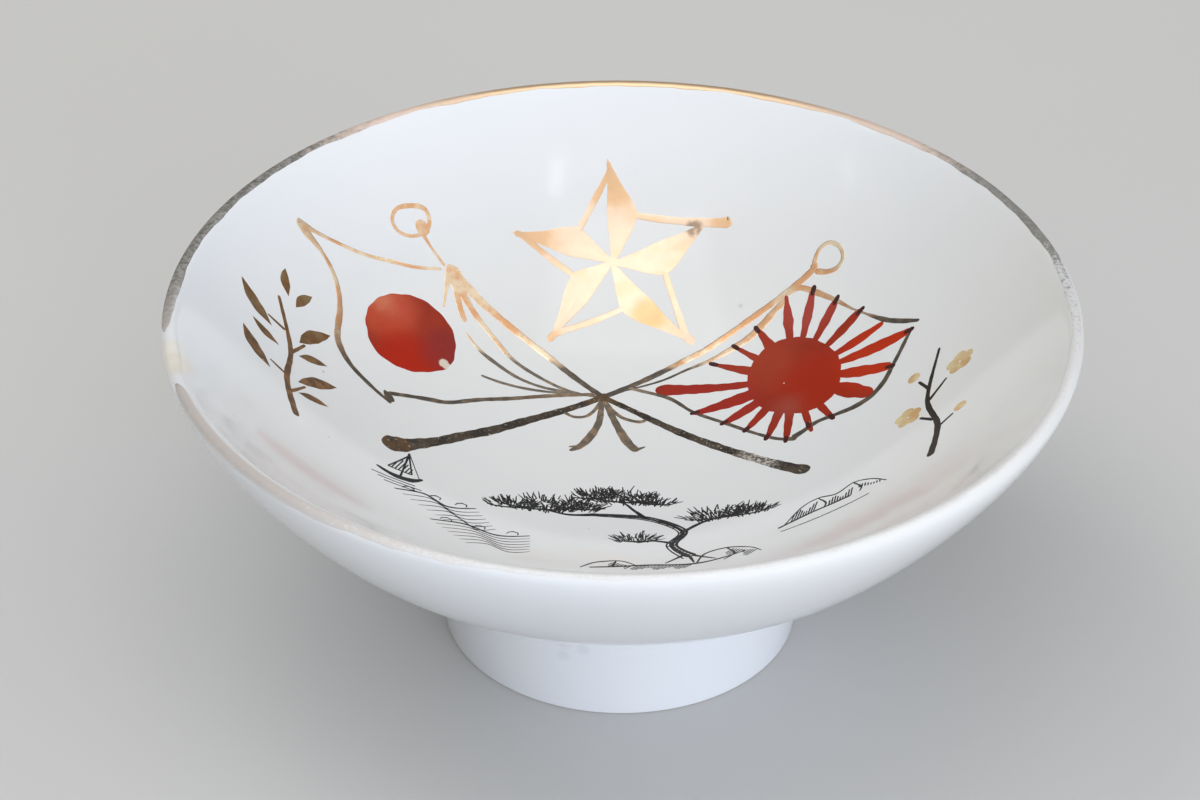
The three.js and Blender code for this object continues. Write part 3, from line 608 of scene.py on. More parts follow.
class Cup:
    """The porcelain's curves, worked out from the sizes, in millimetres.

    Film is the height of a painted stroke over the glaze.
    """

    def __init__(self, sizes, film):
        mm = {name: getattr(sizes, name) / MM for name in sizes.__annotations__ if name != "well_power"}
        self.size = mm
        self.power = sizes.well_power
        self.film = film / MM
        self.lip_radius = mm["lip_thickness"] / 2
        self.rim_top = mm["foot_height"] + mm["bowl_depth"]
        self.widest_height = self.rim_top - self.lip_radius
        self.lip_centre = mm["rim_radius"] - self.lip_radius
        self.lip_turn = math.radians(LIP_TURN)
        self.well_radius = self.lip_centre + self.lip_radius * math.cos(self.lip_turn)
        self.well_top = self.widest_height + self.lip_radius * math.sin(self.lip_turn)
        self.floor = mm["foot_height"] + mm["base_thickness"]

    def well_height(self, r):
        """The floor's height plus the well's depth times (r / rim) to the well's power."""
        return self.floor + (self.well_top - self.floor) * (r / self.well_radius) ** self.power

    def well_slope(self, r):
        """The rate at which the height above grows with r."""
        rate = self.power * (self.well_top - self.floor) / self.well_radius
        return rate * (r / self.well_radius) ** (self.power - 1)

    def plan(self, points):
        """Plan points in hundredths of the well's radius, turned to millimetres."""
        return np.asarray(points, float) * self.well_radius / 100

    def on_well(self, plan, lift):
        """Points over plan places, each pushed off the well along its normal by lift."""
        x, y = plan[..., 0], plan[..., 1]
        r = np.hypot(x, y)
        slope = self.well_slope(r)
        length = np.hypot(1, slope)
        inward = -slope / (length * np.maximum(r, 1e-6))
        height = self.well_height(r) + lift / length
        return np.stack([x + x * inward * lift, y + y * inward * lift, height], axis=-1)

    def wall(self):
        """The bowl's outside: flat bottom, straight underside, then a cubic curve to the rim."""
        size = self.size
        belly = np.array([size["belly_radius"], size["foot_height"] + size["belly_rise"]])
        slope = math.radians(BELLY_SLOPE)
        pull = BELLY_PULL * np.array([math.cos(slope), math.sin(slope)])
        rim = np.array([size["rim_radius"], self.widest_height])
        t = np.linspace(0, 1, WALL_STEPS + 1)[:, None]
        curve = ((1 - t) ** 3 * belly + 3 * (1 - t) ** 2 * t * (belly + pull)
                 + 3 * (1 - t) * t**2 * (rim - [0, RIM_PULL]) + t**3 * rim)
        corner = np.array([size["foot_top_radius"], size["foot_height"]])
        bottom = np.array([[share * corner[0], corner[1]] for share in BOTTOM_SHARES])
        underside = corner + (belly - corner) * np.arange(SLOPE_STEPS)[:, None] / SLOPE_STEPS
        return np.vstack([bottom, underside, curve])

    def lip(self):
        """The lip's circle, from the rim's widest point over the top to where the well starts."""
        angle = np.linspace(0, self.lip_turn, LIP_STEPS)
        r = self.lip_centre + self.lip_radius * np.cos(angle)
        return np.stack([r, self.widest_height + self.lip_radius * np.sin(angle)], axis=-1)

    def well(self):
        """The well's height over evenly spaced radii, from the lip down to the middle."""
        r = self.well_radius * np.linspace(1, WELL_MIDDLE, WELL_STEPS)
        return np.stack([r, self.well_height(r)], axis=-1)

    def stroke(self, points, widths, layer=1.0, step=STROKE_STEP, pointed=False):
        """A brush stroke along plan points: a thin film of paint carried along the curve.

        Its height is layer times the cup's film. The half width follows the widths given,
        wavers by two sine waves, and closes round or to a point.
        """
        line, place, run = smooth_line(self.plan(points), step)
        widths = np.full(len(points), widths) if np.isscalar(widths) else np.asarray(widths, float)
        stops = np.linspace(0, len(points) - 1, len(widths))
        half = np.interp(place, stops, widths) / 2
        waver = np.sin(SHORT_WAVE * run + line[0, 0]) + np.sin(LONG_WAVE * run + line[0, 1])
        half = half * (1 + EDGE_WAVER * waver)
        near = np.minimum(run, run[-1] - run)
        reach = run[-1] / 2 if pointed else np.maximum(half, 1e-3)
        share = np.clip(near / reach, 0, 1)
        half = half * (np.sin(share * math.pi / 2) if pointed else np.sqrt(1 - (1 - share) ** 2))
        half = np.maximum(half, LEAST_HALF_WIDTH)
        u, height = film_across(ACROSS, self.film * layer)
        side = half[:, None] * u[None, :]
        plan = line[:, None, :] + sideways(line)[1][:, None, :] * side[..., None]
        return skin(self.on_well(plan, np.broadcast_to(height, side.shape)))

    def mark(self, points, widths):
        """A fine stroke, with fewer sections."""
        return self.stroke(points, widths, step=FINE_STEP)

    def patch(self, centre, outline, layer=1.0, rounded=True, swell=0.0, soften=0):
        """Paint inside a plan outline that is star-shaped about its centre.

        A point is centre + share * (outline - centre). Its lift is the film times the root
        of 1 - share to the sixth, and the underside lies just inside the glaze. Each
        softening moves every edge point half the way to the mean of its neighbours.
        """
        centre = self.plan(centre)
        outline = self.plan(outline)
        if rounded:
            edge = smooth_line(outline, OUTLINE_STEP, closed=True)[0]
            for _ in range(soften):
                edge = (np.roll(edge, 1, axis=0) + 2 * edge + np.roll(edge, -1, axis=0)) / 4
        else:
            sides = np.roll(outline, -1, axis=0) - outline
            parts = np.arange(SIDE_STEPS) / SIDE_STEPS
            edge = (outline[:, None, :] + sides[:, None, :] * parts[None, :, None]).reshape(-1, 2)
        spoke = edge - centre
        length = np.linalg.norm(spoke, axis=1, keepdims=True)
        count = np.arange(len(edge))
        waver = PATCH_WAVER * (np.sin(0.9 * count) + np.sin(0.37 * count + 1))
        spoke = spoke * (1 + (swell + waver[:, None]) / length)
        up = np.array(PATCH_RINGS)
        share = np.concatenate([up, up[::-1] * 0.98])
        lift = np.concatenate([self.film * layer * np.sqrt(1 - up**6), np.full(len(up), -PAINT_SINK)])
        plan = centre + share[:, None, None] * spoke[None, :, :]
        return skin(self.on_well(plan, np.broadcast_to(lift[:, None], plan.shape[:2])))


class Signal:
    """A number that varies over a surface. Arithmetic on it adds Math nodes to its finish."""

    def __init__(self, finish, socket):
        self.finish = finish
        self.socket = socket

    def output(self, name):
        return Signal(self.finish, self.socket.node.outputs[name])

    def math(self, operation, first, second=0.0):
        return self.finish.node("ShaderNodeMath", {"operation": operation}, {0: first, 1: second})

    def __add__(self, other):
        return self.math("ADD", self, other)

    def __radd__(self, other):
        return self.math("ADD", other, self)

    def __sub__(self, other):
        return self.math("SUBTRACT", self, other)

    def __rsub__(self, other):
        return self.math("SUBTRACT", other, self)

    def __mul__(self, other):
        return self.math("MULTIPLY", self, other)

    def __rmul__(self, other):
        return self.math("MULTIPLY", other, self)

    def most(self, other):
        return self.math("MAXIMUM", self, other)


class Nodes:
    """Builds a node tree by one method."""

    def __init__(self, tree):
        self.tree = tree

    def node(self, kind, settings, inputs, output=0):
        """Adds a node: its settings first, then its sockets' values or links."""
        made = self.tree.nodes.new(kind)
        for name, value in settings.items():
            setattr(made, name, value)
        for name, value in inputs.items():
            self.set(made.inputs[name], value)
        return Signal(self, made.outputs[output])

    def set(self, socket, value):
        if isinstance(value, Signal):
            self.tree.links.new(value.socket, socket)
        elif socket.type == "RGBA" and len(value) == 3:
            socket.default_value = (*value, 1.0)
        else:
            socket.default_value = value

    def rise(self, value, low, high):
        """0 below low and 1 above high, with a smooth step between them."""
        inputs = {"Value": value, "From Min": low, "From Max": high}
        return self.node("ShaderNodeMapRange", {"interpolation_type": "SMOOTHSTEP"}, inputs)

    def mix(self, share, first, second):
        """The first colour where share is 0, the second where it is 1."""
        return self.node("ShaderNodeMix", {"data_type": "RGBA"}, {0: share, 6: first, 7: second}, 2)

    def between(self, share, first, second):
        """The first number where share is 0, the second where it is 1."""
        return share * (second - first) + first


class Finish(Nodes):
    """A material for one Principled shader, with places in millimetres."""

    def __init__(self, name):
        self.material = bpy.data.materials.new(name)
        self.material.use_nodes = True
        super().__init__(self.material.node_tree)
        self.shader = self.tree.nodes["Principled BSDF"]
        self.place = self.node("ShaderNodeTexCoord", {}, {}, "Object")
        split = self.node("ShaderNodeSeparateXYZ", {}, {0: self.place})
        self.x, self.y, self.z = (split.output(axis) * (1 / MM) for axis in "XYZ")

    def noise(self, size, detail=3.0, roughness=0.55):
        """Noise from 0 to 1 whose blots are about size millimetres across."""
        inputs = {"Vector": self.place, "Scale": 1 / (size * MM), "Detail": detail, "Roughness": roughness}
        return self.node("ShaderNodeTexNoise", {}, inputs)

    def away(self, spot):
        """The distance from a spot, both in millimetres."""
        offset = self.node("ShaderNodeVectorMath", {"operation": "DISTANCE"},
                           {0: self.place, 1: [axis * MM for axis in spot]}, "Value")
        return offset * (1 / MM)

    def near(self, spot, reach, soft):
        """1 within reach millimetres of a spot, fading to 0 at reach times 1 + soft."""
        return 1 - self.rise(self.away(spot), reach, reach * (1 + soft))

    def bump(self, height, depth):
        """The surface normal, tilted by a height that is depth millimetres at 1."""
        return self.node("ShaderNodeBump", {}, {"Height": height, "Distance": depth * MM, "Strength": 1.0})

    def shade(self, **sockets):
        """Sets the shader's sockets, whose names are given with underscores for spaces."""
        for name, value in sockets.items():
            self.set(self.shader.inputs[name.replace("_", " ")], value)
        return self.material


def glazed_porcelain(cup):
    """Clear glaze on white porcelain: faint clouding, a painted warm light on the inside's right and front,
    pinholes and a stain.
    """
    f = Finish("glazed_porcelain")
    cloud = f.noise(14, 2)
    body = f.mix(cloud, (0.745, 0.765, 0.785), (0.795, 0.81, 0.822))
    inside = f.rise(f.z - cup.floor, 1, 6)
    # Painted light: the inside is warmer towards the right and the front
    painted_warm_light = f.rise(f.x - f.y * 0.6, 8, 44) * inside
    body = f.mix(painted_warm_light * 0.45, body, (0.80, 0.77, 0.70))
    cells = f.node("ShaderNodeTexVoronoi", {}, {"Vector": f.place, "Scale": 1 / (3.4 * MM)}, "Distance")
    pinholes = (1 - f.rise(cells, 0.02, 0.045)) * f.rise(f.noise(7, 1), 0.56, 0.6)
    for spot, reach in PINHOLES:
        pinholes = pinholes.most(f.near(spot, reach * 0.5, 1.2) * 0.8)
    body = f.mix(pinholes * 0.55, body, (0.30, 0.28, 0.22))
    angle = math.radians(NICK_ANGLE)
    nick = (cup.lip_centre * math.cos(angle), cup.lip_centre * math.sin(angle), cup.rim_top)
    stain = f.near(nick, 1.5, 1.2) * f.rise(f.noise(3.0, 1), 0.2, 0.6)
    body = f.mix(stain * 0.5, body, (0.80, 0.69, 0.50))
    for spot in FOOT_SMUDGES:
        body = f.mix(f.near(spot, 0.25, 2.2) * f.noise(0.6, 2) * 0.3, body, (0.45, 0.44, 0.50))
    bare = 1 - f.rise(f.z, 0.04, 0.16)
    body = f.mix(bare, body, (0.66, 0.62, 0.56))
    ripple = f.noise(4.5, 2) + f.noise(0.9, 2) * 0.12
    return f.shade(Base_Color=body, Roughness=f.between(bare, 0.45, 0.8) + f.noise(6, 2) * 0.1,
                   Coat_Weight=1 - bare, Coat_Roughness=0.11, Coat_IOR=1.5, Specular_IOR_Level=0.1,
                   Normal=f.bump(ripple, 0.04))


def fired_gold(name, lit, shade, turn_height, soft=1.2, speckle=0.35, shine=1.0, lean=0.0):
    """Fired gold that is bright above a plan height, which may lean, and below it tarnished and painted dark
    as shade, standing for the dark surroundings that it mirrors there.

    Where it is bright it runs from orange to pale along the stroke. Brush streaks vary its
    roughness, and small pinholes let the porcelain through.
    """
    f = Finish(name)
    streak = f.noise(0.9, 4, 0.65)
    run = f.noise(3.2, 2) * 0.65 + streak * 0.35
    height = f.y - f.x * lean + (streak - 0.5) * 1.2
    # Painted light: bright gold above the turn height, and below it dark gold that is partly tarnish and
    # partly painted shade for the dark surroundings the gold mirrors
    bright = f.rise(height, turn_height - soft / 2, turn_height + soft / 2)
    orange = [channel * share for channel, share in zip(lit, (0.88, 0.76, 0.68))]
    pale = [min(1.0, channel * share) for channel, share in zip(lit, (1.1, 1.3, 1.6))]
    tone = f.mix(f.rise(run, 0.4, 0.62), orange, pale)
    warm = [channel * share + 0.012 for channel, share in zip(shade, (2.0, 1.7, 1.35))]
    dull = f.mix(f.rise(f.noise(0.8, 3), 0.4, 0.7), shade, warm)
    colour = f.mix(bright, dull, tone)
    worn = f.rise(f.noise(0.35, 3, 0.7), 0.68, 0.73) * speckle
    colour = f.mix(worn, colour, (0.74, 0.70, 0.64))
    metal = f.between(bright, min(0.6, shine), shine) * (1 - worn)
    rough = f.between(bright, 0.34, 0.16) + streak * 0.14
    return f.shade(Base_Color=colour, Metallic=metal, Roughness=rough, Normal=f.bump(streak, BRUSH_RELIEF))


def on_cup(cup, plan):
    """The point of the well over a plan point, in millimetres."""
    x, y = cup.plan(plan)
    return x, y, cup.well_height(math.hypot(x, y))


def pole_gold(cup, paint):
    """Dark gold of the lower poles, partly tarnish and partly painted shade for the dark surroundings that it
    mirrors: a knot with a painted glint, a brown bulb, and one rubbed stretch.
    """
    f = Finish("pole_gold")
    streak = f.noise(0.8, 4, 0.65)
    # Painted shade, in part: the lower poles take the dark gold all over, standing for the dark surroundings
    # that they mirror
    colour = f.mix(f.rise(f.noise(1.6, 3), 0.42, 0.66), tuple(paint.dark_gold), (0.115, 0.09, 0.064))
    bulb = f.near(on_cup(cup, POLE_BULB), 1.1, 0.7)
    colour = f.mix(bulb * f.rise(streak, 0.32, 0.56), colour, (0.16, 0.085, 0.036))
    # Painted glint: lighter, more metallic gold about the knot
    knot = f.near(on_cup(cup, POLE_KNOT), 0.9, 1.2)
    colour = f.mix(knot * 0.7, colour, (0.22, 0.14, 0.075))
    scratch = f.rise(f.noise(0.24, 4, 0.75), 0.6, 0.66)
    rubbed = f.near(on_cup(cup, POLE_RUBBED), 1.3, 1.0) * f.rise(f.noise(0.28, 4, 0.75), 0.4, 0.6)
    worn = (scratch * 0.8).most(rubbed * 0.85)
    colour = f.mix(worn, colour, (0.66, 0.62, 0.56))
    metal = (0.55 + knot * 0.3) * (1 - worn)
    return f.shade(Base_Color=colour, Metallic=metal, Roughness=0.3 + streak * 0.16,
                   Normal=f.bump(streak, BRUSH_RELIEF))


def star_gold(cup, paint):
    """Broad gold of the star: pale and bright in its middle, orange towards its tips, the orange partly a
    painted reflection of darker surroundings beyond the window that the middle mirrors.
    """
    f = Finish("star_gold")
    streak = f.noise(1.1, 4, 0.62)
    patch = f.noise(2.6, 2)
    colour = f.mix(f.rise(patch, 0.46, 0.62) * 0.7, tuple(paint.pale_gold), (0.90, 0.64, 0.42))
    yellow = f.near(on_cup(cup, STAR_YELLOW), 0.9, 1.6)
    colour = f.mix(yellow * 0.8, colour, (0.76, 0.50, 0.23))
    # Painted reflection, in part: orange from each tip, where the gold lies beyond the window's reflection
    for tip, reach in zip(STAR_TIPS, STAR_ORANGE_REFLECTION):
        away = f.away(on_cup(cup, tip)) + (streak - 0.5) * 1.6
        colour = f.mix((1 - f.rise(away, reach - 0.1, reach + 0.9)) * 0.85, colour, (0.84, 0.54, 0.31))
    rubbed = f.near(on_cup(cup, STAR_RUBBED), 0.45, 1.5) * f.rise(f.noise(0.7, 1), 0.2, 0.6) * 0.8
    colour = f.mix(rubbed, colour, (0.30, 0.21, 0.15))
    worn = f.rise(f.noise(0.3, 3, 0.7), 0.7, 0.74) * 0.3
    colour = f.mix(worn, colour, (0.76, 0.74, 0.7))
    metal = 0.97 - worn - rubbed * 0.4
    return f.shade(Base_Color=colour, Metallic=metal, Roughness=0.22 + streak * 0.16,
                   Normal=f.bump(streak, BRUSH_RELIEF))


def lip_gold(cup):
    """The lip's gilding: orange at the back, grey at the sides as a painted reflection of dark surroundings,
    lighter towards the right, worn through in front and there painted darker on the left as shade.

    Over is the angle round the lip's circle, from 0 outwards through 90 on top.
    """
    f = Finish("lip_gold")
    turn = f.x.math("ARCTAN2", f.y, f.x) * (180 / math.pi)
    outwards = f.x.math("SQRT", f.x * f.x + f.y * f.y) - cup.lip_centre
    over = f.x.math("ARCTAN2", f.z - cup.widest_height, outwards) * (180 / math.pi)
    streak = f.noise(0.7, 5, 0.68)
    swayed = turn + (streak - 0.5) * 24
    back = f.rise(swayed, 50, 74) * (1 - f.rise(swayed, 104, 126))
    blush = f.rise(swayed, 34, 48) * (1 - f.rise(swayed, 124, 142))
    front = 1 - f.rise(f.y + (streak - 0.5) * 8, -10, 6)
    left = 1 - f.rise(f.x, -30, -8)
    grain = f.rise(f.noise(0.45, 4, 0.7), 0.36, 0.66)
    # Painted reflection: grey gold at the sides for the dark surroundings that it mirrors, lighter towards
    # the lit right
    grey_reflection = f.mix(grain, (0.14, 0.133, 0.12), (0.33, 0.32, 0.30))
    grey_reflection = f.mix(f.rise(f.x, -8, 30) * 0.5, grey_reflection, (0.36, 0.35, 0.33))
    colour = f.mix(blush * 0.8, grey_reflection, (0.86, 0.68, 0.58))
    colour = f.mix(back, colour, (1.0, 0.72, 0.46))
    # Painted shade: what is left of the band in front is darker on the shaded left
    colour = f.mix(front, colour, f.mix(left, (0.70, 0.62, 0.55), (0.42, 0.36, 0.32)))
    faint = front.most(f.rise(f.x - f.y, 22, 34)) * (1 - left * 0.8)
    rubbed = f.rise(f.noise(0.4, 4, 0.7), f.between(faint, 0.6, 0.3), f.between(faint, 0.7, 0.52))
    rubbed = rubbed * f.between(faint, 0.4, 0.88) * (1 - back * 0.8)
    middle = f.rise(over, -4, 40) * (1 - f.rise(over, 84, 116))
    bare = rubbed.most(front * (1 - middle * f.between(left, 0.4, 0.7)))
    colour = f.mix(bare, colour, (0.77, 0.785, 0.80))
    metal = f.between(back, f.between(left, 0.2, 0.04), 0.8) * (1 - front * 0.8) * (1 - bare)
    rough = f.between(back, f.between(left, 0.4, 0.66), 0.26) + streak * 0.2
    return f.shade(Base_Color=colour, Metallic=metal, Roughness=rough, Specular_IOR_Level=0.2,
                   Coat_Weight=bare * (1 - left * 0.7) * 0.9, Coat_Roughness=0.11,
                   Normal=f.bump(streak, BRUSH_RELIEF))


def red_enamel(name, cup, paint, tones, chips):
    """Iron red laid unevenly: soft patches of other tones, dark specks and satin gloss.

    Each tone fades from 0.6 of its reach to 1.6 mm beyond its reach, along a blotted edge.
    """
    f = Finish(name)
    blot = f.noise(2.2, 3, 0.5)
    grain = f.noise(0.5, 4, 0.7)
    colour = f.mix(f.rise(blot, 0.3, 0.7), [channel * 0.8 for channel in paint.red], tuple(paint.red))
    for plan, reach, tone, share in tones:
        away = f.away(on_cup(cup, plan)) + (blot - 0.5) * 2.4
        colour = f.mix((1 - f.rise(away, reach * 0.6, reach + 1.6)) * share, colour, tone)
    colour = f.mix(f.rise(grain, 0.58, 0.76) * 0.14, colour, (0.55, 0.14, 0.08))
    specks = f.rise(f.noise(0.22, 2, 0.6), 0.68, 0.74)
    colour = f.mix(specks * 0.45, colour, (0.13, 0.045, 0.035))
    for plan, reach in chips:
        away = f.away(on_cup(cup, plan)) + (grain - 0.5) * reach
        colour = f.mix(1 - f.rise(away, reach, reach * 1.5), colour, (0.70, 0.62, 0.54))
    return f.shade(Base_Color=colour, Roughness=0.34 + blot * 0.14, Specular_IOR_Level=0.12,
                   Coat_Weight=0.1 + grain * 0.1, Coat_Roughness=0.14,
                   Normal=f.bump(blot + grain * 0.15, 0.015))


def black_enamel(name, colour):
    """Fine dark line: full where it is thick, a little grey where it lies thin."""
    f = Finish(name)
    thin = f.rise(f.noise(0.5, 4, 0.7), 0.48, 0.72)
    tone = f.mix(thin * 0.6, tuple(colour), [channel * 1.5 + 0.03 for channel in colour])
    return f.shade(Base_Color=tone, Roughness=0.42 + thin * 0.2, Specular_IOR_Level=0.15,
                   Coat_Weight=0.12 - thin * 0.06, Coat_Roughness=0.15)


def black_line(paint):
    """Printed black line: greyer in places where the print took badly."""
    f = Finish("printed_black")
    gap = f.rise(f.noise(0.4, 4, 0.75), 0.58, 0.7)
    colour = f.mix(gap * 0.7, tuple(paint.black), (0.30, 0.30, 0.31))
    return f.shade(Base_Color=colour, Roughness=0.42 + gap * 0.2, Specular_IOR_Level=0.15,
                   Coat_Weight=0.12 - gap * 0.06, Coat_Roughness=0.12)


def pale_floor(stage):
    """A plain pale floor with a breath of unevenness."""
    f = Finish("pale_floor")
    darker, lighter = ([channel * share for channel in stage.floor_colour] for share in (0.98, 1.02))
    colour = f.mix(f.noise(60, 2), darker, lighter)
    return f.shade(Base_Color=colour, Roughness=0.75, Specular_IOR_Level=0.2)


def gold_slot(node):
    """The record's slot of a painted gold node."""
    return next(part["material_slot"] for part in frame["record"]["subparts"] if part["node"] == node)


def add_piece(name, shells, material, slot, *nodes):
    """Joins shells into one smooth mesh that stands for CAD nodes."""
    points, faces = mesh_of(shells)
    mesh = bpy.data.meshes.new(name)
    mesh.from_pydata(points * MM, [], faces)
    mesh.validate()
    mesh.shade_smooth()
    mesh.materials.append(material)
    piece = bpy.data.objects.new(name, mesh)
    bpy.context.scene.collection.objects.link(piece)
    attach(piece, BODY)
    if nodes:
        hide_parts(*nodes)


def the_cup(context, film="thickness"):
    """The cup, with the paint's size of that name as the height of its strokes."""
    return Cup(context.scene.cup_sizes, getattr(context.scene.paint_sizes, film))


def paint_lines(cup, lines, material, layer=1.0):
    """One piece for each named node, made of its strokes."""
    for node, strokes in lines.items():
        shells = [cup.stroke(points, widths, layer) for points, widths in strokes]
        add_piece(f"painted_{node}", shells, material, gold_slot(node), node)


class CUP_OT_bowl(bpy.types.Operator):
    """Turn the bowl: flat bottom, swelling wall, round lip and deep well"""

    bl_idname = "cup.bowl"
    bl_label = "Bowl"

    def execute(self, context):
        cup = the_cup(context)
        points, faces = turned(np.vstack([cup.wall(), cup.lip()[1:-1], cup.well()]))
        angle = np.degrees(np.arctan2(points[:, 1], points[:, 0])) % 360
        r = np.hypot(points[:, 0], points[:, 1])
        at_nick = np.exp(-((angle - NICK_ANGLE) / NICK_SPREAD) ** 2)
        at_nick *= np.exp(-((r - cup.lip_centre) / NICK_ACROSS) ** 2)
        at_nick *= np.exp(-((points[:, 2] - cup.rim_top) / NICK_DOWN) ** 2)
        points[:, 2] -= at_nick * (NICK_DEPTH + NICK_RAGGED * np.sin(angle * 3.1))
        add_piece("porcelain_bowl", [(points, faces)], glazed_porcelain(cup), "porcelain", "bowl")
        return {"FINISHED"}


class CUP_OT_foot(bpy.types.Operator):
    """Turn the foot ring with its eased base and the glaze that fills its top corner"""

    bl_idname = "cup.foot"
    bl_label = "Foot Ring"

    def execute(self, context):
        size = the_cup(context).size
        outer, top = size["foot_base_radius"], size["foot_height"]
        inner, edge = outer - size["foot_wall"], size["foot_edge"]
        turn = np.linspace(0, math.pi / 2, FOOT_EDGE_STEPS)
        inner_edge = np.stack([inner + edge - edge * np.cos(turn), edge - edge * np.sin(turn)], axis=-1)
        outer_edge = np.stack([outer - edge + edge * np.sin(turn), edge - edge * np.cos(turn)], axis=-1)
        fillet = size["glaze_fillet"]
        lean = size["belly_rise"] / (size["belly_radius"] - size["foot_top_radius"])
        base = np.array([outer, edge])
        corner = np.array([size["foot_top_radius"], top])
        stop = 1 - fillet / (top - edge)
        wall = base + (corner - base) * stop * np.linspace(0, 1, FOOT_WALL_STEPS)[:, None]
        share = np.linspace(0, 1, FILLET_STEPS)[1:, None]
        end = corner + fillet * np.array([1, lean])
        flare = wall[-1] * (1 - share) ** 2 + corner * 2 * share * (1 - share) + end * share**2
        inside = np.array([[inner, top - FOOT_GAP], [inner, 0.6 * top], [inner, edge + 0.3]])
        profile = np.vstack([inside, inner_edge, outer_edge, wall[1:], flare, [[corner[0], top - FOOT_GAP]]])
        glaze = bpy.data.materials["glazed_porcelain"]
        add_piece("porcelain_foot_ring", [turned(profile, ring=True)], glaze, "porcelain", "foot_ring")
        return {"FINISHED"}


class CUP_OT_lip_gilding(bpy.types.Operator):
    """Lay the thin gilded band over the lip, open where the lip is nicked"""

    bl_idname = "cup.lip_gilding"
    bl_label = "Lip Gilding"

    def execute(self, context):
        cup = the_cup(context)
        degrees = np.arange(LIP_BAND_START, LIP_BAND_END + 0.5, 1.0)
        angle = np.radians(degrees)
        waver = np.sin(angle * 17) + np.sin(angle * 41 + 1) + 0.6 * np.sin(angle * 97 + 2)
        start = np.interp(degrees, LIP_BAND_AT, LIP_BAND_OUTER) + 4 * waver
        end = np.interp(degrees, LIP_BAND_AT, LIP_BAND_INNER) + 4 * np.sin(angle * 23) + 3 * waver
        middle, half = np.radians(start + end) / 2, np.radians(end - start) / 2
        from_end = np.minimum(degrees - degrees[0], degrees[-1] - degrees)
        half = half * np.clip(from_end / LIP_BAND_CLOSING, 0.02, 1) ** 0.5
        u, height = film_across(np.linspace(-1, 1, LIP_BAND_STEPS), GILDING)
        turn = middle[:, None] + half[:, None] * u
        radius = cup.lip_radius + height
        r = cup.lip_centre + radius * np.cos(turn)
        z = cup.widest_height + radius * np.sin(turn)
        band = np.stack([r * np.cos(angle)[:, None], r * np.sin(angle)[:, None], z], axis=-1)
        add_piece("lip_gilding", [skin(band)], lip_gold(cup), "gilding", "rim_gilding")
        return {"FINISHED"}


class CUP_OT_star(bpy.types.Operator):
    """Paint the star: each arm half filled with gold and half edged by a line"""

    bl_idname = "cup.star"
    bl_label = "Star"

    def execute(self, context):
        cup = the_cup(context)
        gold = star_gold(cup, context.scene.paint_sizes)
        for arm, (tip, notch, facet_tip) in enumerate(zip(STAR_TIPS, STAR_NOTCHES, FACET_TIPS)):
            corners = np.array([STAR_CENTRE, notch, facet_tip], float)
            corners[0] -= (corners[1] + corners[2] - 2 * corners[0]) * CENTRE_OVERLAP
            facet = cup.patch(corners.mean(axis=0), corners, rounded=False, swell=FACET_SWELL)
            add_piece(f"painted_star_facet_{arm + 1}", [facet], gold, "gilding", f"star_facet_{arm + 1}")
            start = np.array(STAR_NOTCHES[arm - 1])
            way = (np.array(tip) - start) / np.linalg.norm(np.array(tip) - start)
            merge = np.array(tip) + (np.array(STAR_CENTRE) - tip) * STAR_MERGES[arm]
            line = [start - way * LINE_OVERLAP, (start + merge) / 2, merge, tip]
            swell = STAR_TIP_SWELLS[arm]
            widths = [STAR_LINE * share for share in (0.85, 1, (1 + swell) / 2, swell)]
            edge = cup.stroke(line, widths, STAR_LINE_LAYER)
            add_piece(f"painted_star_line_{arm + 1}", [edge], gold, "gilding", f"star_line_{arm + 1}")
        return {"FINISHED"}


class CUP_OT_flags(bpy.types.Operator):
    """Paint the flags' borders and the two red suns"""

    bl_idname = "cup.flags"
    bl_label = "Flags and Suns"

    def execute(self, context):
        cup = the_cup(context)
        paint = context.scene.paint_sizes
        grey_gold = fired_gold("grey_gold", paint.bright_gold, BORDER_TARNISH_AND_SHADE, turn_height=12.6, soft=4.0,
                               lean=TURN_LEAN)
        paint_lines(cup, FLAG_LINES, grey_gold)
        left = cup.patch(LEFT_SUN_CENTRE, LEFT_SUN_OUTLINE, SUN_LAYER, soften=SUN_SOFTENING)
        red = red_enamel("left_red_enamel", cup, paint, LEFT_SUN_TONES, LEFT_SUN_CHIPS)
        add_piece("painted_left_sun", [left], red, "red_enamel", "left_sun")
        centre = np.array(RIGHT_SUN_CENTRE, float)
        shells = [cup.patch(centre, RIGHT_SUN_OUTLINE, SUN_LAYER, soften=SUN_SOFTENING)]
        for tip, widths in RAYS:
            way = np.array(tip) - centre
            root = centre + way * RAY_ROOT / np.linalg.norm(way)
            stops = [root + (tip - root) * share for share in RAY_STOPS]
            swelled = np.array([*widths, widths[-1] * RAY_TIP]) * RAY_SPREAD
            shells.append(cup.stroke(stops, swelled, RAY_LAYER))
        red = red_enamel("right_red_enamel", cup, paint, RIGHT_SUN_TONES, RIGHT_SUN_CHIPS)
        add_piece("painted_right_sun", shells, red, "red_enamel", "right_sun")
        caps = []
        for cap in RAY_CAPS:
            way = np.array(cap) - centre
            way *= RAY_CAP_LENGTH * 50 / cup.well_radius / np.linalg.norm(way)
            caps.append(cup.stroke([cap - way, cap + way], RAY_CAP_WIDTHS, RAY_CAP_LAYER, FINE_STEP))
        maroon = black_enamel("ray_cap_maroon", MAROON)
        add_piece("painted_ray_caps", caps, maroon, "black_enamel")
        return {"FINISHED"}


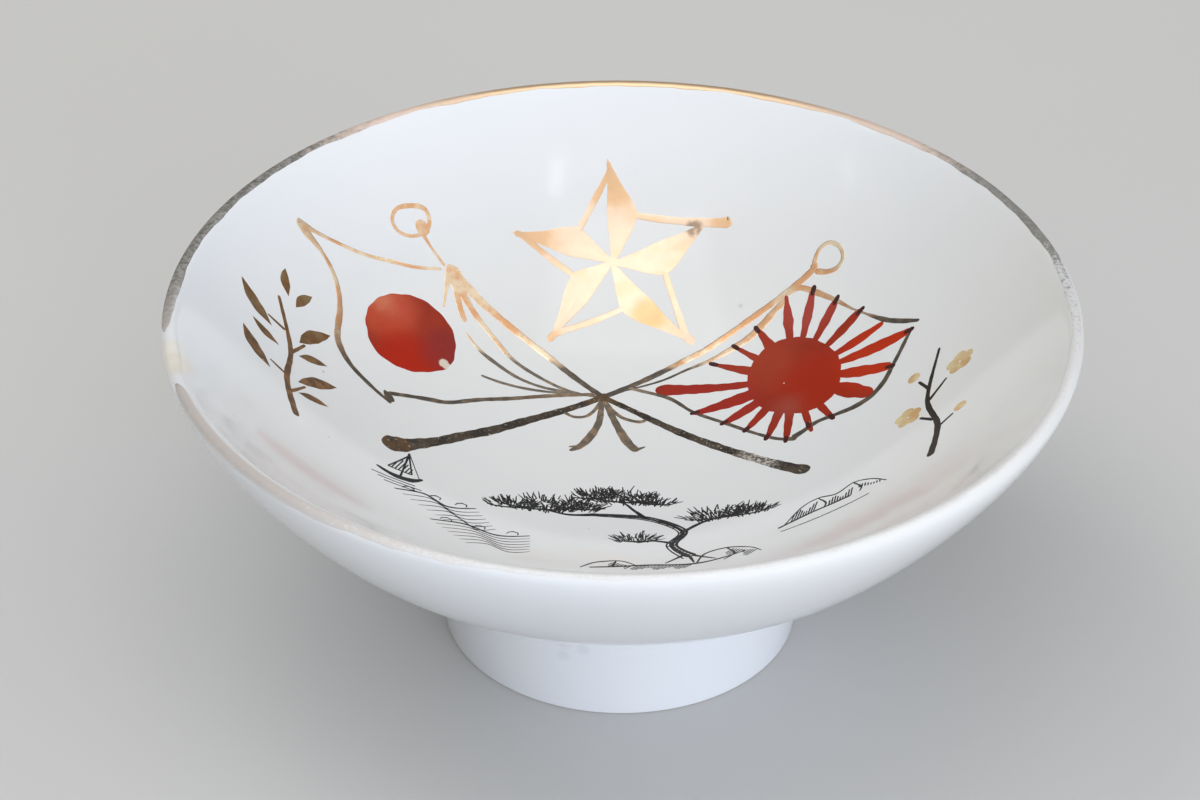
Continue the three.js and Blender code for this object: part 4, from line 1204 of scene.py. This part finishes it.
class CUP_OT_poles(bpy.types.Operator):
    """Paint the crossed poles, their finials, the cords and the bow"""

    bl_idname = "cup.poles"
    bl_label = "Poles, Cords and Bow"

    def execute(self, context):
        cup = the_cup(context)
        paint = context.scene.paint_sizes
        line_gold = fired_gold("line_gold", paint.bright_gold, LINE_TARNISH_AND_SHADE, turn_height=14.6, soft=1.0)
        cord_gold = fired_gold("cord_gold", paint.bright_gold, CORD_TARNISH_AND_SHADE, turn_height=14.6, soft=0.8)
        bow_gold = fired_gold("bow_gold", paint.brown_gold, BOW_TARNISH_AND_SHADE, turn_height=60.0, speckle=0.8)
        paint_lines(cup, GOLD_LINES, line_gold)
        paint_lines(cup, CORD_LINES, cord_gold)
        paint_lines(cup, POLE_LINES, pole_gold(cup, paint), POLE_LAYER)
        paint_lines(cup, BOW_LINES, bow_gold)
        return {"FINISHED"}


class CUP_OT_sprigs(bpy.types.Operator):
    """Paint the leafy sprig at the left and the blossoming twig at the right"""

    bl_idname = "cup.sprigs"
    bl_label = "Side Sprigs"

    def execute(self, context):
        cup = the_cup(context)
        brown = fired_gold("sprig_gold", SPRIG_GOLD, SPRIG_TARNISH_AND_SHADE, turn_height=6.8, soft=6.0, speckle=0.6,
                           shine=0.45)
        shells = [cup.stroke(LEFT_STEM, (0.6, 0.5, 0.42, 0.26))]
        shells += [cup.stroke(twig, (0.32, 0.2)) for twig in LEFT_TWIGS]
        shells += [self.leaf(cup, centre, turn, SMALL_LEAF) for centre, turn in SMALL_LEAVES]
        add_piece("painted_left_sprig_stem", shells, brown, "worn_gilding", "left_sprig_stem")
        for node, (centre, turn) in LEAVES.items():
            add_piece(f"painted_{node}", [self.leaf(cup, centre, turn, 1.0)], brown, "worn_gilding", node)
        black = black_enamel("brown_black_enamel", BROWN_BLACK)
        shells = [cup.stroke(RIGHT_STEM, (0.62, 0.5, 0.4, 0.2))]
        shells += [cup.stroke(twig, (0.34, 0.2)) for twig in RIGHT_TWIGS]
        add_piece("painted_right_sprig_stem", shells, black, "black_enamel", "right_sprig_stem")
        dark = context.scene.paint_sizes.brown_gold
        pale = fired_gold("blossom_gold", BLOSSOM_GOLD, dark, turn_height=-60.0, shine=0.3)
        for node, centre in BLOSSOMS.items():
            turns = 2 * math.pi * (np.arange(PETALS) / PETALS + PETAL_TURN)
            petals = centre + PETAL_REACH * 100 / cup.well_radius * around(turns)
            shells = [self.dot(cup, petal, PETAL_RADIUS) for petal in petals]
            add_piece(f"painted_{node}", shells, pale, "gilding", node)
        for node, centre in BUDS.items():
            add_piece(f"painted_{node}", [self.dot(cup, centre, BUD_RADIUS)], pale, "gilding", node)
        return {"FINISHED"}

    def leaf(self, cup, centre, turn, share):
        """A pointed brush mark, broadest in its middle and a little bent."""
        way = share * LEAF_HALF_LENGTH / cup.well_radius * 100 * around(math.radians(turn))
        bend = LEAF_BEND * np.array([-way[1], way[0]])
        points = [centre - way, centre + bend, centre + way]
        return cup.stroke(points, LEAF_WIDTH * share, step=LEAF_STEP, pointed=True)

    def dot(self, cup, centre, radius):
        """A round patch about a plan point."""
        turns = np.arange(DOT_CORNERS) * 2 * math.pi / DOT_CORNERS
        return cup.patch(centre, centre + radius * 100 / cup.well_radius * around(turns))


def hatching(cup, start, end, count, way):
    """Fine parallel strokes of the same way, spaced evenly between two plan points."""
    feet = np.array(start) + np.outer(np.linspace(0, 1, count), np.array(end, float) - start)
    lengths = 0.75 + 0.25 * np.sin(7.3 * np.arange(count))
    tips = feet + np.outer(lengths, way)
    return [cup.mark([foot, tip], HATCH_LINE) for foot, tip in zip(feet, tips)]


class CUP_OT_pine(bpy.types.Operator):
    """Draw the pine leaning over water in fine black line"""

    bl_idname = "cup.pine"
    bl_label = "Pine Drawing"

    def execute(self, context):
        cup = the_cup(context, "print_thickness")
        paint = context.scene.paint_sizes
        rng = np.random.default_rng(7)
        drawing = {"pine_trunk": self.trunk(cup)}
        for node, clumps in CROWNS.items():
            drawing[node] = []
            for centre, share, turn in clumps:
                needles = int(paint.needle_count * share)
                drawing[node] += self.clump(cup, np.array(centre), share, math.radians(turn), needles, rng)
        for node, points in WAVES.items():
            drawing[node] = self.waves(cup, np.array(points))
        shore = [cup.stroke(SHORE, (PRINT_LINE, 0.28, 0.28, 0.14))]
        shore += [cup.stroke(rock, (0.16, 0.2, 0.12)) for rock in ROCKS]
        drawing["shore"] = shore + self.hatched(cup, SHORE_HATCHING)
        far = [cup.stroke(FAR_SHORE, PRINT_LINE)]
        far += [cup.stroke(hill, (0.12, 0.18, 0.12)) for hill in FAR_HILLS]
        drawing["far_shore"] = far + self.hatched(cup, FAR_HATCHING) + self.ripples(cup, *FAR_RIPPLES)
        drawing["sail"] = self.boat(cup)
        black = black_line(paint)
        for node, shells in drawing.items():
            add_piece(f"printed_{node}", shells, black, "black_enamel", node)
        return {"FINISHED"}

    def hatched(self, cup, places):
        """The strokes of several hatched places."""
        return [mark for place in places for mark in hatching(cup, *place)]

    def ripples(self, cup, first, step, count):
        """Fine lines on the water, each a step on from the one before."""
        return [cup.mark(np.array(first) + k * np.array(step), HATCH_LINE) for k in range(count)]

    def trunk(self, cup):
        """The trunk's two edges with bark strokes between them, its roots and its branches."""
        spine = np.array(PINE_TRUNK, float)
        along, across = sideways(spine)
        left, right = (spine + across * np.array(PINE_BREADTHS)[:, None] * side / 2 for side in (-1, 1))
        shells = [cup.stroke(left, (0.3, 0.26, 0.24, 0.2, 0.16)),
                  cup.stroke(right, (0.16, 0.16, 0.14, 0.14, 0.12)),
                  cup.stroke(spine, (0.5, 0.42, 0.36, 0.3, 0.2))]
        for part in range(4):
            way = right[part] - left[part] + along[part] * 0.9
            shells += hatching(cup, left[part], left[part + 1], 8 - part, way * 0.8)
        shells += [cup.stroke(root, (0.34, 0.14)) for root in PINE_ROOTS]
        shells += [cup.stroke(branch, (0.42, 0.3, 0.2, 0.12)) for branch in PINE_BRANCHES]
        return shells

    def clump(self, cup, centre, share, turn, needles, rng):
        """A clump of needles that fan upwards from a low cloud of feet."""
        scale = 100 / cup.well_radius
        spin = np.array([[math.cos(turn), -math.sin(turn)], [math.sin(turn), math.cos(turn)]])
        wide = CROWN_HALF_WIDTH * scale * share
        shells = []
        for _ in range(needles):
            angle = rng.uniform(0, 2 * math.pi)
            reach = math.sqrt(rng.uniform(0, 1)) * share * scale
            foot = reach * around(angle) * (CROWN_HALF_WIDTH, CROWN_HALF_HEIGHT)
            lean = math.radians(90 - NEEDLE_FAN * foot[0] / wide + rng.uniform(-NEEDLE_SWAY, NEEDLE_SWAY))
            length = rng.uniform(*NEEDLE_LENGTHS) * scale
            foot = centre + spin @ foot
            shells.append(cup.mark([foot, foot + length * around(lean)], NEEDLE_WIDTHS))
        base = [centre + spin @ np.array([wide * u, -CLUMP_SAG * (1 - u * u) * share])
                for u in (-1, -0.4, 0.3, 1)]
        shells.append(cup.stroke(base, (0.1, 0.24, 0.24, 0.1)))
        return shells

    def waves(self, cup, wave):
        """A crest line with echoes below it and small curls along it."""
        shells = [cup.stroke(wave, (0.14, PRINT_LINE, PRINT_LINE, 0.12))]
        for row in range(1, WAVE_ROWS + 1):
            echo = wave * [1 - ECHO_NARROWING * row, 1] + row * np.array(ECHO_STEP)
            shells.append(cup.mark(echo, (0.06, HATCH_LINE, HATCH_LINE, 0.06)))
        for start, end in zip(wave[:-1], wave[1:]):
            curl = (start + end) / 2 + WAVE_CURL
            shells.append(cup.mark(curl, (0.08, 0.16, 0.14, 0.08)))
        return shells

    def boat(self, cup):
        """A small boat on ripples: a filled hull, a mast with its stay, and a hatched sail."""
        shells = [cup.mark([SAIL[corner - 1], SAIL[corner]], 0.16) for corner in (1, 2, 0)]
        shells += [cup.stroke(HULL, (0.2, 0.6, 0.6, 0.24)), cup.mark(MAST, 0.18), cup.mark(STAY, 0.09)]
        return shells + self.hatched(cup, SAIL_HATCHING) + self.ripples(cup, *BOAT_RIPPLES)


class CUP_OT_stage(bpy.types.Operator):
    """Set the pale floor, the soft lamps and the camera"""

    bl_idname = "cup.stage"
    bl_label = "Stage"

    def execute(self, context):
        scene = context.scene
        stage = scene.stage_sizes
        half = stage.floor_size / 2
        mesh = bpy.data.meshes.new("floor")
        corners = [(-half, -half, 0), (half, -half, 0), (half, half, 0), (-half, half, 0)]
        mesh.from_pydata(corners, [], [(0, 1, 2, 3)])
        mesh.materials.append(pale_floor(stage))
        floor = bpy.data.objects.new("floor", mesh)
        scene.collection.objects.link(floor)
        scene.world = self.room(stage)
        for name, facts in LAMPS.items():
            self.lamp(name, *facts)
        self.camera(scene, stage)
        scene.view_settings.view_transform = "Standard"
        return {"FINISHED"}

    def room(self, stage):
        """Even light, bright overhead and towards the viewer's right, darker beyond the cup."""
        world = bpy.data.worlds.new("room")
        world.use_nodes = True
        n = Nodes(world.node_tree)
        way = n.node("ShaderNodeTexCoord", {}, {}, "Generated")
        split = n.node("ShaderNodeSeparateXYZ", {}, {0: way})
        x, y, z = (split.output(axis) for axis in "XYZ")
        bright = n.rise(z - y * 0.8 + x * 0.3, -0.1, 0.85)
        background = world.node_tree.nodes["Background"]
        n.set(background.inputs["Color"], n.mix(bright, (0.78, 0.84, 0.92), (1.0, 0.985, 0.96)))
        n.set(background.inputs["Strength"], n.between(bright, stage.room_light * 0.2, stage.room_light))
        return world

    def lamp(self, name, place, size, brightness, colour, mirrored):
        """A rectangular softbox. One that the glaze doesn't mirror is turned to face the cup, and a mirrored
        one faces straight down. Only a mirrored one shows in the gloss.
        """
        light = bpy.data.lights.new(name, "AREA")
        light.shape = "RECTANGLE"
        light.size, light.size_y = size
        light.energy = brightness * math.pi * size[0] * size[1]
        light.color = colour
        lamp = bpy.data.objects.new(name, light)
        lamp.visible_glossy = mirrored
        lamp.location = place
        if not mirrored:
            lamp.rotation_euler = (Vector((0, 0, 0.02)) - Vector(place)).to_track_quat("-Z", "Y").to_euler()
        bpy.context.scene.collection.objects.link(lamp)

    def camera(self, scene, stage):
        """Looks at the middle of the cup's mouth, then turns so that it falls on its pixel."""
        target = Vector((0, 0, CAD_BOX[1][2] - MOUTH_DROP))
        pitch = stage.camera_height
        ahead = Vector((0, math.cos(pitch), -math.sin(pitch)))
        place = target - ahead * stage.camera_distance
        focal = stage.lens / SENSOR_WIDTH * IMAGE_SIZE[0]
        right, up = MOUTH_PIXEL[0] - IMAGE_SIZE[0] / 2, IMAGE_SIZE[1] / 2 - MOUTH_PIXEL[1]
        aside = math.atan2(right, focal)
        above = math.atan2(up, math.hypot(focal, right))
        level = Matrix.Rotation(math.pi / 2 - pitch, 4, "X")
        turn = Matrix.Rotation(aside, 4, "Y") @ Matrix.Rotation(-above, 4, "X")
        tilt = Matrix.Rotation(stage.camera_tilt, 4, "Z")
        data = bpy.data.cameras.new("camera")
        data.lens = stage.lens
        data.sensor_width = SENSOR_WIDTH
        data.clip_start = 0.01
        camera = bpy.data.objects.new("camera", data)
        camera.matrix_world = Matrix.Translation(place) @ level @ turn @ tilt
        scene.collection.objects.link(camera)
        scene.camera = camera


OPERATORS = (
    CUP_OT_bowl, CUP_OT_foot, CUP_OT_lip_gilding, CUP_OT_star, CUP_OT_flags, CUP_OT_poles, CUP_OT_sprigs,
    CUP_OT_pine, CUP_OT_stage,
)


class CUP_PT_sidebar(bpy.types.Panel):
    """Lists the cup's operators"""

    bl_idname = "CUP_PT_sidebar"
    bl_label = "Sake Cup"
    bl_space_type = "VIEW_3D"
    bl_region_type = "UI"
    bl_category = "Sake Cup"

    def draw(self, context):
        for operator in OPERATORS:
            self.layout.operator(operator.bl_idname)


CLASSES = (CupSizes, PaintSizes, StageSizes, *OPERATORS, CUP_PT_sidebar)


def register():
    for cls in CLASSES:
        bpy.utils.register_class(cls)
    bpy.types.Scene.cup_sizes = PointerProperty(type=CupSizes)
    bpy.types.Scene.paint_sizes = PointerProperty(type=PaintSizes)
    bpy.types.Scene.stage_sizes = PointerProperty(type=StageSizes)


def unregister():
    del bpy.types.Scene.stage_sizes
    del bpy.types.Scene.paint_sizes
    del bpy.types.Scene.cup_sizes
    for cls in reversed(CLASSES):
        bpy.utils.unregister_class(cls)


def main():
    register()
    for operator in OPERATORS:
        group, name = operator.bl_idname.split(".")
        getattr(getattr(bpy.ops, group), name)()


if __name__ == "__main__":
    main()
